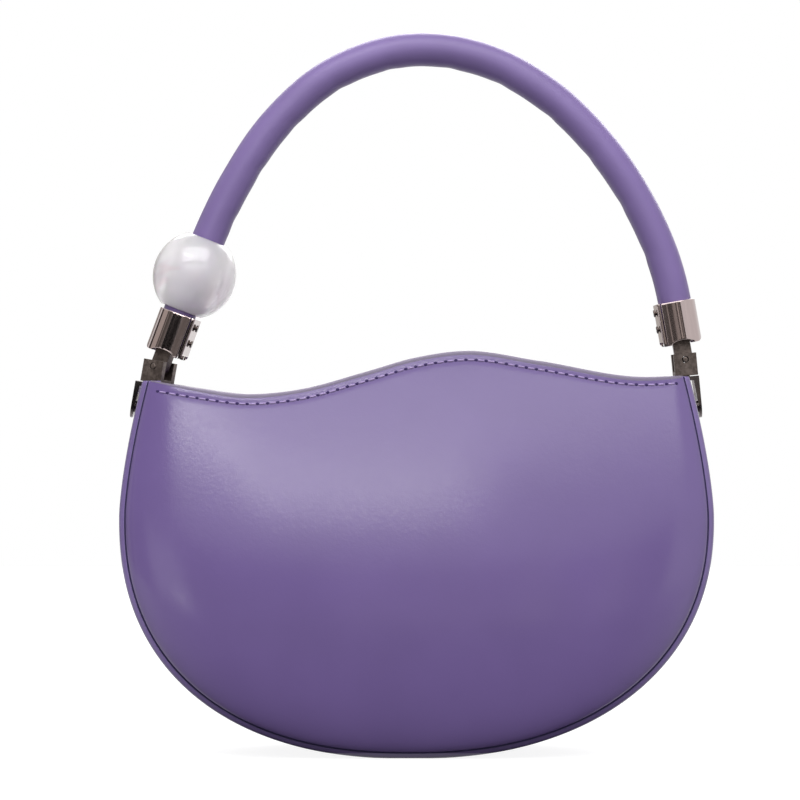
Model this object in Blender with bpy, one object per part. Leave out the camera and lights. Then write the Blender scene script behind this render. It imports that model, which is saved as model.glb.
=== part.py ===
# A small structured handbag. The leather body is two bulged panels on a U-shaped gusset,
# with a recessed zip. A round padded handle with an acrylic bead hangs in two hinged
# metal brackets, which turn on posts through the ends of the gusset.
# Metres, +Z up, the front faces -Y, and the bag stands on the flat of its gusset.
import math

import bmesh
import bpy
from mathutils import Matrix, Vector

for old in list(bpy.data.objects):
    bpy.data.objects.remove(old, do_unlink=True)

GAP = 0.0003                    # between pieces that touch
FULL_TURN = 2 * math.pi

# Body outline, seen from the front
HALF_WIDTH = 0.1113             # to the shoulder of the gusset, at the widest height
CREST_Z = 0.1509                # highest point of the rim
WIDEST_Z = 0.0896
BOTTOM_SINK = 0.0003            # how far the curved bottom is flattened to stand on
OUTLINE_POWER = 2.27            # 2 is an ellipse, more is squarer
BOTTOM_SKEW = 0.0025            # the bottom swings this far to -X
TOP_DROP = 0.0109               # from the crest to where the sides end
TOP_Z = CREST_Z - TOP_DROP
TOP_TAPER = 0.0083              # each side leans in by this up to TOP_Z
TAPER_POWER = 1.5
STRAIGHT_SHARE = 0.125          # of the outline, for each leaning side

# Rim of both panels: place across, as a share of its half width, and height, as a share
# of the crest's
RIM_SHARES = (
    (-1.0, 0.928), (-0.82, 0.908), (-0.63, 0.893), (-0.43, 0.905), (-0.20, 0.946),
    (0.0, 0.984), (0.18, 1.0), (0.45, 0.976), (0.83, 0.936), (1.0, 0.939),
)

# Leather
LEATHER = 0.0018
SEAM_INSET = 0.0024             # from the shoulder in to the groove where the panel starts
SEAM_HALF_TOP = 0.0140          # half the gusset's width at TOP_Z
SEAM_HALF_BOTTOM = 0.0280
LIP = 0.0070                    # the gusset's edge turned in behind the panel
GUSSET_CROWN = 0.0007           # how far its middle stands proud of its shoulders
GUSSET_SHARES = ((0.62, 0.6), (0.31, 0.9), (0.0, 1.0))    # across, and of the crown there
SCOOP_DEPTH = 0.0050            # dip in the gusset's top edge under the bracket
SCOOP_SHOULDER = 0.0008         # from the top of the dip to the seam
SCOOP_SLOPE = 0.0046            # width of each of its slopes
SCOOP_HALF = SEAM_HALF_TOP - SCOOP_SHOULDER
SCOOP_FLAT = SCOOP_HALF - SCOOP_SLOPE

# Bulge of the panels beyond the seam
CROWN = 0.0135
RIM_CROWN = 0.0060
CROWN_FADE_Z = 0.0500           # above this the bulge fades towards the rim's
FADE_POWER = 1.5
CROWN_POWER = 2.4
CROWN_EDGE = 0.56
POLE_Z = 0.0780                 # centre of the panel's mesh

# Facings inside the rim, and the zip that they carry
FACING = 0.0010
FACING_DROP = 0.0247            # from the crest to the underside of the zip's ledge
FACING_Z = CREST_Z - FACING_DROP
FACING_INSET = 0.0173           # from the bag's widest place to the facing's end
FACING_HALF = HALF_WIDTH - FACING_INSET
FACING_TURN = 0.0014            # how far its top lies below the rim
LEDGE_HALF = 0.0062             # half the window over the teeth
TAPE = 0.0012
TAPE_INSET = 0.0100             # from the facing's end
TAPE_HALF_LENGTH = FACING_HALF - TAPE_INSET
TAPE_SIDE_GAP = 0.0025          # from the tape's outer edge to the seam
TAPE_OUTER = SEAM_HALF_TOP - TAPE_SIDE_GAP
TOOTH_ROOT = 0.0027
TOOTH_TIP = 0.0008
TOOTH_PITCH = 0.0034
TOOTH_LENGTH = 0.0018
TEETH_INSET = 0.0050            # from the tape's end
TEETH_HALF_LENGTH = TAPE_HALF_LENGTH - TEETH_INSET
TAB_LENGTH = 0.0130
TAB_SIDE_GAP = 0.0050
TAB_HALF = SEAM_HALF_TOP - TAB_SIDE_GAP
TAB_THICKNESS = 0.0024
TAB_END_SHARE = 0.6             # of its width

# Lining, base board and pocket
LINING = 0.0010
LINING_TOP = FACING_Z - GAP
LINING_SIDE_GAP = 0.0024
LINING_LIP_GAP = 0.0010
LINING_POWER = 3.0
BOARD = 0.0015
BOARD_HALF_SHARE = 0.10         # of the outline, to each side of the bottom
BOARD_MARGIN = 0.0040           # from its edge to the gusset's lip
POCKET = 0.0010
POCKET_HALF_WIDTH = 0.0450
POCKET_HEIGHT = 0.0540
POCKET_DROP = 0.0299            # from the lining's top
POCKET_TOP = LINING_TOP - POCKET_DROP
POCKET_LOW = POCKET_TOP - POCKET_HEIGHT

# Zip slider and pull
SLIDER_LENGTH = 0.0095
SLIDER_HALF = 0.0038
SLIDER_PLATE = 0.0011
SLIDER_NECK = 0.0009
SLIDER_PLAY = 0.00035
SLIDER_INSET = 0.0050           # from the last tooth
SLIDER_START = TEETH_HALF_LENGTH - SLIDER_INSET
BAIL_LENGTH = 0.0056
BAIL_HEIGHT = 0.0034
BAIL_WALL = 0.0010
BAIL_WIDTH = 0.0016
PULL_BAR = 0.0005               # radius of its crossbar
PULL_HALF = 0.0026
PULL_ARM = 0.0011
PULL_NOTCH = 0.0046
PULL_LENGTH = 0.0205
PULL_THICKNESS = 0.0010

# Brackets, one on each end of the gusset. A bracket's own axes run out of the bag, to
# the back and up the strap, from its post at the strap's outer face.
STRAP_PROUD = 0.00275           # its outer face, beyond the gusset's shoulder
POST_DROP = 0.0205              # from the crest
POST_Z = CREST_Z - POST_DROP
POST_RADIUS = 0.0022
POST_BORE = 0.0011
POST_CLEARANCE = 0.0004
STRAP_WIDTH = 0.0100
STRAP_DROP = 0.0042
STRAP_TIP = 0.0009
STRAP_ROOT = 0.0020
LEDGE_THICKNESS = 0.0016
NUT_RADIUS = 0.0035
NUT_HEAD = 0.0010
NUT_STEM = 0.0007
NUT_PLAY = 0.0012

# Clevis, pin and tongue
CLEVIS_WIDTH = 0.0086
LEDGE_LIP = 0.0001              # how far the bracket's ledge passes the clevis
CLEVIS_DEPTH = 0.0110
CLEVIS_EAR = 0.0025
CLEVIS_FLOOR = 0.0017
CLEVIS_BELOW_PIN = 0.0062
CLEVIS_ABOVE_PIN = 0.0023
STUD_RADIUS = 0.0016
PIN_RADIUS = 0.0010
PIN_OVERHANG = 0.0003
TONGUE_WIDTH = 0.0066
TONGUE_DEPTH = 0.0038
TONGUE_BELOW_PIN = 0.0032
TONGUE_HEAD_WIDTH = 0.0100
TONGUE_HEAD_HEIGHT = 0.0034

# Ferrules at the handle's ends
HANDLE_RADIUS = 0.0063
FERRULE_HEIGHT = 0.0163
FERRULE_SHEET = 0.0010
FERRULE_RADIUS = HANDLE_RADIUS + FERRULE_SHEET + GAP
PLATE_THICKNESS = 0.0010
PLATE_GAP = 0.0004              # from the handle to the closing plate
PLATE_FLANGE = 0.0030           # its folded sides, from its face
FERRULE_CORNER = 0.0018         # rounding of the lower corners
FERRULE_REACH = HANDLE_RADIUS + PLATE_GAP + PLATE_THICKNESS
HEM_HALF = 0.0045
HEM_RISE = 0.0015
SCREW_RADIUS = 0.0014
SCREW_HEAD = 0.00065
SCREW_STEM = 0.0008
SCREW_DROPS = (0.0031, 0.0094)  # from the ferrule's top

# Handle and bead. The path's points lie between the ferrules: the share of the way
# across, and the height above them as a share of the rise.
HANDLE_WALL = 0.0012
HANDLE_RISE = 0.1047
HANDLE_SHARES = (
    (0.043, 0.211), (0.122, 0.531), (0.2025, 0.749), (0.3155, 0.926), (0.462, 1.010),
    (0.6145, 0.970), (0.7465, 0.832), (0.8485, 0.642), (0.9265, 0.4205), (0.980, 0.178),
)
BEAD_RADIUS = 0.0157
BEAD_HALF_LENGTH = 0.0166
BEAD_CLEARANCE = 0.0007
BEAD_MOUTH = 0.0009             # countersink at each end of its bore
BEAD_SEAT = 0.0013              # from its end to the ferrule

# The two sides: the strap's lean, the clevis's place on the bracket, and the tongue's
# length, lean and twist
SIDES = {
    "left": {
        "sign": -1, "strap_lean": 10.0, "pin_in": 0.0078, "pin_up": 0.0165,
        "reach": 0.0135, "lean": 20.3, "twist": 24.0, "ferrule_twist": 5.0,
        "ferrule_out": 0.0,
    },
    "right": {
        "sign": 1, "strap_lean": 5.5, "pin_in": 0.0046, "pin_up": 0.0183,
        "reach": 0.0141, "lean": 10.0, "twist": 0.0, "ferrule_twist": 0.0,
        "ferrule_out": 0.0003,
    },
}

# Colours
PURPLE = (0.235, 0.165, 0.415)
DARK_PURPLE = (0.150, 0.105, 0.280)
LINING_GREY = (0.200, 0.160, 0.270)
NICKEL = (0.560, 0.530, 0.510)
GUNMETAL = (0.230, 0.205, 0.200)
PEARL = (0.860, 0.850, 0.880)
ROPE = (0.700, 0.660, 0.600)
BOARD_BROWN = (0.360, 0.300, 0.230)


def finish(item, colour, roughness, metallic=0.0, smooth=True):
    material = bpy.data.materials.new(item.name)
    material.use_nodes = True
    shader = material.node_tree.nodes["Principled BSDF"]
    shader.inputs["Base Color"].default_value = (*colour, 1.0)
    shader.inputs["Roughness"].default_value = roughness
    shader.inputs["Metallic"].default_value = metallic
    material.diffuse_color = (*colour, 1.0)
    item.data.materials.clear()
    item.data.materials.append(material)
    if smooth:
        item.data.shade_smooth()
        item.data.set_sharp_from_angle(angle=math.radians(38))
    return item


def solid(name, points, faces, frame=None):
    mesh = bpy.data.meshes.new(name)
    shape = bmesh.new()
    corners = [shape.verts.new(point) for point in points]
    for face in faces:
        shape.faces.new([corners[index] for index in face])
    bmesh.ops.recalc_face_normals(shape, faces=shape.faces)
    shape.to_mesh(mesh)
    shape.free()
    item = bpy.data.objects.new(name, mesh)
    bpy.context.collection.objects.link(item)
    if frame:
        item.matrix_world = frame
    return item


# An empty on a joint's axis, which carries the pieces that turn or slide there
def joint_empty(name, place):
    empty = bpy.data.objects.new(name, None)
    empty.empty_display_size = LIP
    empty.location = place
    bpy.context.collection.objects.link(empty)
    return empty


def hang(items, parent):
    bpy.context.view_layer.update()
    for item in items:
        item.parent = parent
        item.matrix_parent_inverse = parent.matrix_world.inverted()


# A closed wall between two grids of points, joined along their open edges. Rows close on
# themselves where wrap is set, and the first column is one point where pole is set.
def wall(name, outer, inner, wrap=False, pole=False, frame=None):
    rows = len(outer)
    columns = len(outer[0])
    points = []
    numbers = []
    for grid in (outer, inner):
        table = []
        for row in grid:
            line = []
            for column, point in enumerate(row):
                if pole and column == 0 and table:
                    line.append(table[0][0])
                    continue
                line.append(len(points))
                points.append(point)
            table.append(line)
        numbers.append(table)
    faces = []

    def add(*corners):
        face = list(dict.fromkeys(corners))
        if len(face) > 2:
            faces.append(face)

    last = rows if wrap else rows - 1
    for table, flip in zip(numbers, (False, True)):
        for i in range(last):
            here = table[i]
            there = table[(i + 1) % rows]
            for j in range(columns - 1):
                corners = (here[j], there[j], there[j + 1], here[j + 1])
                add(*(reversed(corners) if flip else corners))
    front, back = numbers
    for i in range(last):
        there = (i + 1) % rows
        if not pole:
            add(front[i][0], back[i][0], back[there][0], front[there][0])
        add(front[i][-1], front[there][-1], back[there][-1], back[i][-1])
    if not wrap:
        for j in range(columns - 1):
            add(front[0][j], front[0][j + 1], back[0][j + 1], back[0][j])
            add(front[-1][j], back[-1][j], back[-1][j + 1], front[-1][j + 1])
    return solid(name, points, faces, frame)


# An outline in the first two axes of a frame, extruded both ways along the third
def prism(name, outline, depth, frame, first=-0.5, bevel=0.0):
    count = len(outline)
    points = []
    for end in (first, first + 1):
        points += [Vector((a, b, end * depth)) for a, b in outline]
    faces = [tuple(range(count)), tuple(range(2 * count - 1, count - 1, -1))]
    for i in range(count):
        j = (i + 1) % count
        faces.append((i, count + i, count + j, j))
    item = solid(name, points, faces, frame)
    if bevel:
        round_edges(item, bevel)
    return item


def round_edges(item, width, segments=2):
    modifier = item.modifiers.new("soft_edges", "BEVEL")
    modifier.width = width
    modifier.segments = segments
    modifier.limit_method = "ANGLE"
    modifier.angle_limit = math.radians(40)


# A turned piece: its profile is pairs of radius and place along the frame's third axis
def turned(name, profile, frame, segments, ring=False):
    points = []
    faces = []
    rings = []
    for radius, along in profile:
        if radius == 0:
            rings.append([len(points)] * segments)
            points.append(Vector((0, 0, along)))
            continue
        rings.append(list(range(len(points), len(points) + segments)))
        for i in range(segments):
            angle = FULL_TURN * i / segments
            points.append(Vector((radius * math.cos(angle), radius * math.sin(angle), along)))
    pairs = list(zip(rings, rings[1:]))
    if ring:
        pairs.append((rings[-1], rings[0]))
    for low, high in pairs:
        for i in range(segments):
            j = (i + 1) % segments
            face = list(dict.fromkeys((low[i], low[j], high[j], high[i])))
            if len(face) > 2:
                faces.append(face)
    return solid(name, points, faces, frame)


def rod(name, radius, start, end, frame, segments=12):
    return turned(name, ((0, start), (radius, start), (radius, end), (0, end)), frame, segments)


def combine(item, tool, operation):
    tool.hide_render = True
    tool.display_type = "WIRE"
    modifier = item.modifiers.new(tool.name, "BOOLEAN")
    modifier.object = tool
    modifier.operation = operation
    modifier.solver = "EXACT"


# Axes at a place: the third is along, the first lies nearest to across
def axes(origin, along, across):
    third = Vector(along).normalized()
    first = Vector(across)
    first = (first - third * first.dot(third)).normalized()
    second = third.cross(first)
    turn = Matrix((first, second, third)).transposed().to_4x4()
    return Matrix.Translation(origin) @ turn


def smooth_step(low, high, value):
    share = min(max((value - low) / (high - low), 0), 1)
    return share * share * (3 - 2 * share)


# A smooth line through values at rising knots, read at one place
def through(knots, values, place):
    count = len(knots)
    i = 0
    while i < count - 2 and place > knots[i + 1]:
        i += 1

    def slope(k):
        low = max(k - 1, 0)
        high = min(k + 1, count - 1)
        if low == k or high == k:
            return (values[high] - values[low]) / (knots[high] - knots[low])
        before = (values[k] - values[low]) / (knots[k] - knots[low])
        after = (values[high] - values[k]) / (knots[high] - knots[k])
        weight = (knots[high] - knots[k]) / (knots[high] - knots[low])
        return before * weight + after * (1 - weight)

    width = knots[i + 1] - knots[i]
    t = (place - knots[i]) / width
    rise = values[i + 1] - values[i]
    a = slope(i) * width - rise
    b = rise - slope(i + 1) * width
    return values[i] + t * rise + t * (1 - t) * ((1 - t) * a + t * b)


# Body shape
def side_half(z, inset):
    rise = max(z - WIDEST_Z, 0) / (TOP_Z - WIDEST_Z)
    return HALF_WIDTH - inset - TOP_TAPER * rise ** TAPER_POWER


def rim_height(x):
    half = side_half(TOP_Z, SEAM_INSET)
    share = min(max(x / half, -1), 1)
    knots = [place for place, height in RIM_SHARES]
    return CREST_Z * through(knots, [height for place, height in RIM_SHARES], share)


# A point of the body's outline, from the top left corner round the bottom to the right
def outline(share, inset, dip=0.0, floor=0.0):
    side = -1 if share < 0.5 else 1
    way = min(share, 1 - share)
    if way < STRAIGHT_SHARE:
        corner = CREST_Z * RIM_SHARES[0 if side < 0 else -1][1] - dip
        z = corner + (WIDEST_Z - corner) * way / STRAIGHT_SHARE
        return side * side_half(z, inset), z
    angle = math.pi * (way - STRAIGHT_SHARE) / (1 - 2 * STRAIGHT_SHARE)
    reach = math.cos(angle) ** (2 / OUTLINE_POWER) if angle < math.pi / 2 else 0
    drop = math.sin(angle) ** (2 / OUTLINE_POWER)
    x = side * (HALF_WIDTH - inset) * reach - BOTTOM_SKEW * drop * drop
    z = WIDEST_Z - (WIDEST_Z + BOTTOM_SINK - inset) * drop
    return x, max(z, floor)


def seam_half(z):
    return SEAM_HALF_TOP + (SEAM_HALF_BOTTOM - SEAM_HALF_TOP) * (1 - z / TOP_Z)


# Half the body's depth on a panel's surface, this far in from the shoulder and the crown
def half_depth(x, z, inset, loss):
    drop = max(WIDEST_Z - z, 0) / (WIDEST_Z + BOTTOM_SINK - inset)
    middle = -BOTTOM_SKEW * drop * drop
    across = abs(x - middle) / side_half(z, inset)
    radial = min((across ** OUTLINE_POWER + drop ** OUTLINE_POWER) ** (1 / OUTLINE_POWER), 1)
    fade = (max(z - CROWN_FADE_Z, 0) / (CREST_Z - CROWN_FADE_Z)) ** FADE_POWER
    crown = CROWN + (RIM_CROWN - CROWN) * fade - loss
    return seam_half(z) + GAP + crown * (1 - radial ** CROWN_POWER) ** CROWN_EDGE


def panel_half_inside(x, z):
    return half_depth(x, z, SEAM_INSET + GAP + LEATHER, LEATHER)


def panel(name, side):
    ring_shares = (0.0, 0.28, 0.53, 0.72, 0.86, 0.94, 0.982, 1.0)
    seam_steps = 40
    rim_steps = 20
    grids = []
    for depth in (0.0, LEATHER):
        inset = SEAM_INSET + GAP + depth
        edge = [outline(i / seam_steps, inset) for i in range(seam_steps + 1)]
        half = edge[-1][0]
        for i in range(1, rim_steps):
            x = half * (1 - 2 * i / rim_steps)
            edge.append((x, rim_height(x)))
        grid = []
        for edge_x, edge_z in edge:
            row = []
            for share in ring_shares:
                x = share * edge_x
                z = POLE_Z + share * (edge_z - POLE_Z)
                row.append(Vector((x, side * half_depth(x, z, inset, depth), z)))
            grid.append(row)
        grids.append(grid)
    return finish(wall(name, grids[0], grids[1], wrap=True, pole=True), PURPLE, 0.42)


# Points across the gusset: the side, the depth below the shoulder, the share of the half
# width, and the way in from there
def gusset_section(depth):
    shoulder = SEAM_INSET - depth
    lean = shoulder * (1 - math.sqrt(0.5))
    half = [
        (LIP, 1.0, depth), (SEAM_INSET, 1.0, depth), (depth + lean, 1.0, depth + lean),
        (depth, 1.0, SEAM_INSET),
    ]
    half += [(depth - GUSSET_CROWN * rise, share, 0.0) for share, rise in GUSSET_SHARES]
    mirrored = [(1, *point) for point in reversed(half[:-1])]
    return [(-1, *point) for point in half] + mirrored


def gusset():
    steps = 46
    grids = []
    for depth in (0.0, LEATHER):
        grid = []
        for i in range(steps + 1):
            row = []
            for side, inset, share, inward in gusset_section(depth):
                place = share * SEAM_HALF_TOP - inward
                dip = SCOOP_DEPTH * (1 - smooth_step(SCOOP_FLAT, SCOOP_HALF, place))
                x, z = outline(i / steps, inset, dip, depth)
                row.append(Vector((x, side * (share * seam_half(z) - inward), z)))
            grid.append(row)
        grids.append(grid)
    item = wall("gusset", grids[0], grids[1])
    radius = POST_RADIUS + POST_CLEARANCE
    for place, data in SIDES.items():
        hole = rod(f"post_hole_{place}", radius, -LIP, LIP, post_frame(data))
        combine(item, hole, "DIFFERENCE")
    return finish(item, PURPLE, 0.45)


# Inside of the body
def facing(name, side):
    stations = 20
    outer = []
    inner = []
    for i in range(stations + 1):
        x = FACING_HALF * (2 * i / stations - 1)
        top = rim_height(x) - FACING_TURN
        middle = (top + FACING_Z) / 2
        y_top = panel_half_inside(x, top) - GAP
        y_middle = panel_half_inside(x, middle) - GAP
        y_low = panel_half_inside(x, FACING_Z) - GAP
        path = ((y_top, top), (y_middle, middle), (y_low, FACING_Z), (LEDGE_HALF, FACING_Z))
        outer.append([Vector((x, side * y, z)) for y, z in path])
        fold = FACING_Z + FACING
        path = (
            (y_top - FACING, top), (y_middle - FACING, middle), (y_low - FACING, fold),
            (LEDGE_HALF, fold),
        )
        inner.append([Vector((x, side * y, z)) for y, z in path])
    return finish(wall(name, outer, inner), DARK_PURPLE, 0.6)


def zip_tape(name, side):
    frame = Matrix.Translation((0, 0, FACING_Z - GAP))
    points = [(TAPE_HALF_LENGTH, side * TAPE_OUTER), (-TAPE_HALF_LENGTH, side * TAPE_OUTER)]
    teeth = int((2 * TEETH_HALF_LENGTH - TOOTH_LENGTH) / TOOTH_PITCH)
    first = -TOOTH_PITCH * (teeth - 1) / 2
    points.append((-TAPE_HALF_LENGTH, side * TOOTH_ROOT))
    for i in range(teeth):
        x = first + i * TOOTH_PITCH
        points.append((x - TOOTH_LENGTH / 2, side * TOOTH_ROOT))
        points.append((x - TOOTH_LENGTH / 2, side * TOOTH_TIP))
        points.append((x + TOOTH_LENGTH / 2, side * TOOTH_TIP))
        points.append((x + TOOTH_LENGTH / 2, side * TOOTH_ROOT))
    points.append((TAPE_HALF_LENGTH, side * TOOTH_ROOT))
    return finish(prism(name, points, TAPE, frame, first=-1), DARK_PURPLE, 0.5, smooth=False)


def zip_tab(name, side):
    low = side * (TAPE_HALF_LENGTH + GAP)
    end = side * (TAPE_HALF_LENGTH + GAP + TAB_LENGTH)
    narrow = TAB_HALF * TAB_END_SHARE
    outline_points = [(low, -TAB_HALF), (end, -narrow), (end, narrow), (low, TAB_HALF)]
    frame = Matrix.Translation((0, 0, FACING_Z - GAP))
    tab = prism(name, outline_points, TAB_THICKNESS, frame, first=-1, bevel=TAB_THICKNESS / 5)
    return finish(tab, PURPLE, 0.45)


def zip_slider():
    high = FACING_Z - GAP + SLIDER_PLAY
    low = FACING_Z - GAP - TAPE - SLIDER_PLAY
    half = SLIDER_HALF
    neck = SLIDER_NECK / 2
    section = [
        (-half, high), (-half, high + SLIDER_PLATE), (half, high + SLIDER_PLATE), (half, high),
        (neck, high), (neck, low), (half, low), (half, low - SLIDER_PLATE),
        (-half, low - SLIDER_PLATE), (-half, low), (-neck, low), (-neck, high),
    ]
    along = Matrix(((0, 0, 1), (1, 0, 0), (0, 1, 0))).to_4x4()
    place = Matrix.Translation((SLIDER_START, 0, 0))
    item = prism("zip_slider", section, SLIDER_LENGTH, place @ along)
    top = high + SLIDER_PLATE
    reach = BAIL_LENGTH / 2
    hole = reach - BAIL_WALL
    arch = [
        (-reach, -SLIDER_PLATE / 2), (-reach, BAIL_HEIGHT - BAIL_WALL), (-hole, BAIL_HEIGHT),
        (hole, BAIL_HEIGHT), (reach, BAIL_HEIGHT - BAIL_WALL), (reach, -SLIDER_PLATE / 2),
        (hole, -SLIDER_PLATE / 2), (hole, BAIL_HEIGHT - 1.6 * BAIL_WALL),
        (0.6 * hole, BAIL_HEIGHT - BAIL_WALL),
        (-0.6 * hole, BAIL_HEIGHT - BAIL_WALL), (-hole, BAIL_HEIGHT - 1.6 * BAIL_WALL),
        (-hole, -SLIDER_PLATE / 2),
    ]
    upright = axes((SLIDER_START, 0, top), (0, -1, 0), (1, 0, 0))
    combine(item, prism("bail", arch, BAIL_WIDTH, upright), "UNION")
    return finish(item, NICKEL, 0.25, 1.0, smooth=False)


def pull_axis():
    top = FACING_Z - GAP + SLIDER_PLAY + SLIDER_PLATE
    return Vector((SLIDER_START, 0, top + (BAIL_HEIGHT - BAIL_WALL) / 2))


def zip_pull():
    arm = PULL_HALF - PULL_ARM
    end = -PULL_LENGTH
    tag = [
        (0, PULL_HALF), (0, arm), (-PULL_NOTCH, arm), (-PULL_NOTCH, -arm), (0, -arm),
        (0, -PULL_HALF), (end + PULL_HALF, -PULL_HALF), (end, -PULL_HALF / 2),
        (end, PULL_HALF / 2), (end + PULL_HALF, PULL_HALF),
    ]
    place = Matrix.Translation(pull_axis())
    item = prism("zip_pull", tag, PULL_THICKNESS, place)
    bar = axes(pull_axis(), (0, 1, 0), (1, 0, 0))
    reach = PULL_HALF - PULL_ARM / 3
    combine(item, rod("pull_bar", PULL_BAR, -reach, reach, bar), "UNION")
    return finish(item, NICKEL, 0.25, 1.0, smooth=False)


def base_board():
    steps = 12
    inset = LEATHER + GAP
    outer = []
    inner = []
    for i in range(steps + 1):
        share = 0.5 + BOARD_HALF_SHARE * (2 * i / steps - 1)
        for grid, depth in ((outer, inset), (inner, inset + BOARD)):
            x, z = outline(share, depth, 0.0, depth)
            half = seam_half(z) - LEATHER - BOARD_MARGIN
            grid.append([Vector((x, y, z)) for y in (-half, half)])
    return finish(wall("base_board", outer, inner), BOARD_BROWN, 0.8, smooth=False)


# The lining's half width and half depth at a height, to its outer side
def lining_halves(z):
    inset = LEATHER + BOARD + 2 * GAP + LINING_SIDE_GAP
    drop = max(WIDEST_Z - z, 0) / (WIDEST_Z - inset)
    reach = max(1 - drop ** OUTLINE_POWER, 0) ** (1 / OUTLINE_POWER)
    half_x = side_half(z, inset) * reach
    inside_lip = seam_half(z) - LEATHER - LINING_LIP_GAP
    behind_panel = panel_half_inside(0, z) - LINING_LIP_GAP - FACING
    loose = smooth_step(LIP, 4 * LIP, z)
    return half_x, inside_lip + (behind_panel - inside_lip) * loose


def lining_point(turn, z, depth, share=1.0):
    half_x, half_y = lining_halves(z)
    c = math.cos(turn)
    s = math.sin(turn)
    x = math.copysign(abs(c) ** (2 / LINING_POWER), c) * (half_x - depth) * share
    y = math.copysign(abs(s) ** (2 / LINING_POWER), s) * (half_y - depth) * share
    drop = max(WIDEST_Z - z, 0) / WIDEST_Z
    return Vector((x - BOTTOM_SKEW * drop * drop, y, z))


def lining():
    turns = 32
    levels = 8
    bottom = LEATHER + BOARD + 3 * GAP + LINING_SIDE_GAP
    grids = []
    for depth in (0.0, LINING):
        low = bottom + depth
        grid = []
        for i in range(turns):
            turn = FULL_TURN * i / turns
            row = [Vector((-BOTTOM_SKEW, 0, low)), lining_point(turn, low, depth, 0.5)]
            for j in range(levels + 1):
                z = low + (LINING_TOP - low) * (j / levels) ** 1.6
                row.append(lining_point(turn, z, depth))
            grid.append(row)
        grids.append(grid)
    return finish(wall("lining", grids[0], grids[1], wrap=True, pole=True), LINING_GREY, 0.8)


# A patch pocket, open at the top, sewn on the lining's back
def slip_pocket():
    across = 10
    up = 6
    outer = []
    inner = []
    for i in range(across + 1):
        x = POCKET_HALF_WIDTH * (2 * i / across - 1)
        lines = ([], [])
        for j in range(up + 1):
            z = POCKET_LOW + (POCKET_TOP - POCKET_LOW) * j / up
            half_x, half_y = lining_halves(z)
            slack = (1 - (x / (half_x - LINING)) ** 4) * (j / up) * 3 * GAP
            reach = (1 - (abs(x) / (half_x - LINING)) ** LINING_POWER) ** (1 / LINING_POWER)
            y = (half_y - LINING) * reach - 2 * GAP - slack
            lines[0].append(Vector((x, y, z)))
            lines[1].append(Vector((x, y - POCKET, z)))
        outer.append(lines[0])
        inner.append(lines[1])
    return finish(wall("slip_pocket", outer, inner), LINING_GREY, 0.8)


# Brackets, clevises and ferrules. Each frame's axes run out, to the back and up.
def post_place(data):
    return Vector((data["sign"] * (side_half(POST_Z, 0) + STRAP_PROUD), 0, POST_Z))


def post_frame(data):
    return axes(post_place(data), (data["sign"], 0, 0), (0, 0, 1))


def bracket_frame(data):
    lean = math.radians(data["strap_lean"])
    up = (-data["sign"] * math.sin(lean), 0, math.cos(lean))
    return axes(post_place(data), up, (data["sign"], 0, 0))


# From the strap's outer face in to the nut's seat on the inside of the gusset
def nut_seat():
    return -(STRAP_PROUD + LEATHER + NUT_PLAY)


def pin_frame(data):
    place = bracket_frame(data) @ Vector((-data["pin_in"], 0, data["pin_up"]))
    turn = bracket_frame(data).to_3x3().to_4x4()
    twist = Matrix.Rotation(data["sign"] * math.radians(data["twist"]), 4, "Z")
    return Matrix.Translation(place) @ turn @ twist


def handle_direction(data):
    lean = math.radians(data["lean"])
    return Vector((-data["sign"] * math.sin(lean), 0, math.cos(lean)))


def tongue_frame(data):
    place = pin_frame(data).translation
    frame = axes(place, handle_direction(data), (data["sign"], 0, 0))
    return frame @ Matrix.Rotation(data["sign"] * math.radians(data["twist"]), 4, "Z")


def ferrule_frame(data):
    place = pin_frame(data).translation + handle_direction(data) * data["reach"]
    frame = axes(place, handle_direction(data), (data["sign"], 0, 0))
    frame = frame @ Matrix.Translation((data["ferrule_out"], 0, 0))
    return frame @ Matrix.Rotation(data["sign"] * math.radians(data["ferrule_twist"]), 4, "Z")


# The same frame with its axes in another order, for outlines drawn in other planes
def facing_back(frame):
    return frame @ Matrix(((1, 0, 0), (0, 0, -1), (0, 1, 0))).to_4x4()


def facing_out(frame):
    return frame @ Matrix(((0, 0, 1), (1, 0, 0), (0, 1, 0))).to_4x4()


def side_bracket(place, data):
    frame = bracket_frame(data)
    floor = data["pin_up"] - CLEVIS_BELOW_PIN - GAP
    inner = -(data["pin_in"] + CLEVIS_WIDTH / 2 + LEDGE_LIP)
    width = STRAP_WIDTH / 2
    section = [
        (0, -STRAP_DROP), (0, floor), (inner, floor), (inner, floor - LEDGE_THICKNESS),
        (-STRAP_ROOT, floor - LEDGE_THICKNESS), (-STRAP_TIP, -STRAP_DROP),
    ]
    item = prism(f"side_bracket_{place}", section, STRAP_WIDTH, facing_back(frame))
    shoulder = width - STRAP_DROP
    outside = width + LIP
    corners = [(outside, -outside), (outside, shoulder), (width, shoulder)]
    for i in range(1, 8):
        angle = math.pi * i / 8
        corners.append((width * math.cos(angle), shoulder - width * math.sin(angle)))
    corners += [(-width, shoulder), (-outside, shoulder), (-outside, -outside)]
    tip = prism(f"strap_tip_cut_{place}", corners, 4 * STRAP_ROOT, facing_out(frame))
    combine(item, tip, "DIFFERENCE")
    inside = nut_seat()
    post = (
        (0, -STRAP_TIP / 2), (POST_RADIUS, -STRAP_TIP / 2), (POST_RADIUS, inside),
        (POST_BORE, inside), (POST_BORE, -STRAP_ROOT), (0, -STRAP_ROOT),
    )
    combine(item, turned(f"post_{place}", post, post_frame(data), 16), "UNION")
    seat = frame @ Matrix.Translation((-data["pin_in"], 0, floor))
    hole = rod(f"stud_hole_{place}", STUD_RADIUS + GAP, -2 * LEDGE_THICKNESS, LIP, seat)
    combine(item, hole, "DIFFERENCE")
    return finish(item, GUNMETAL, 0.35, 1.0)


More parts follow.
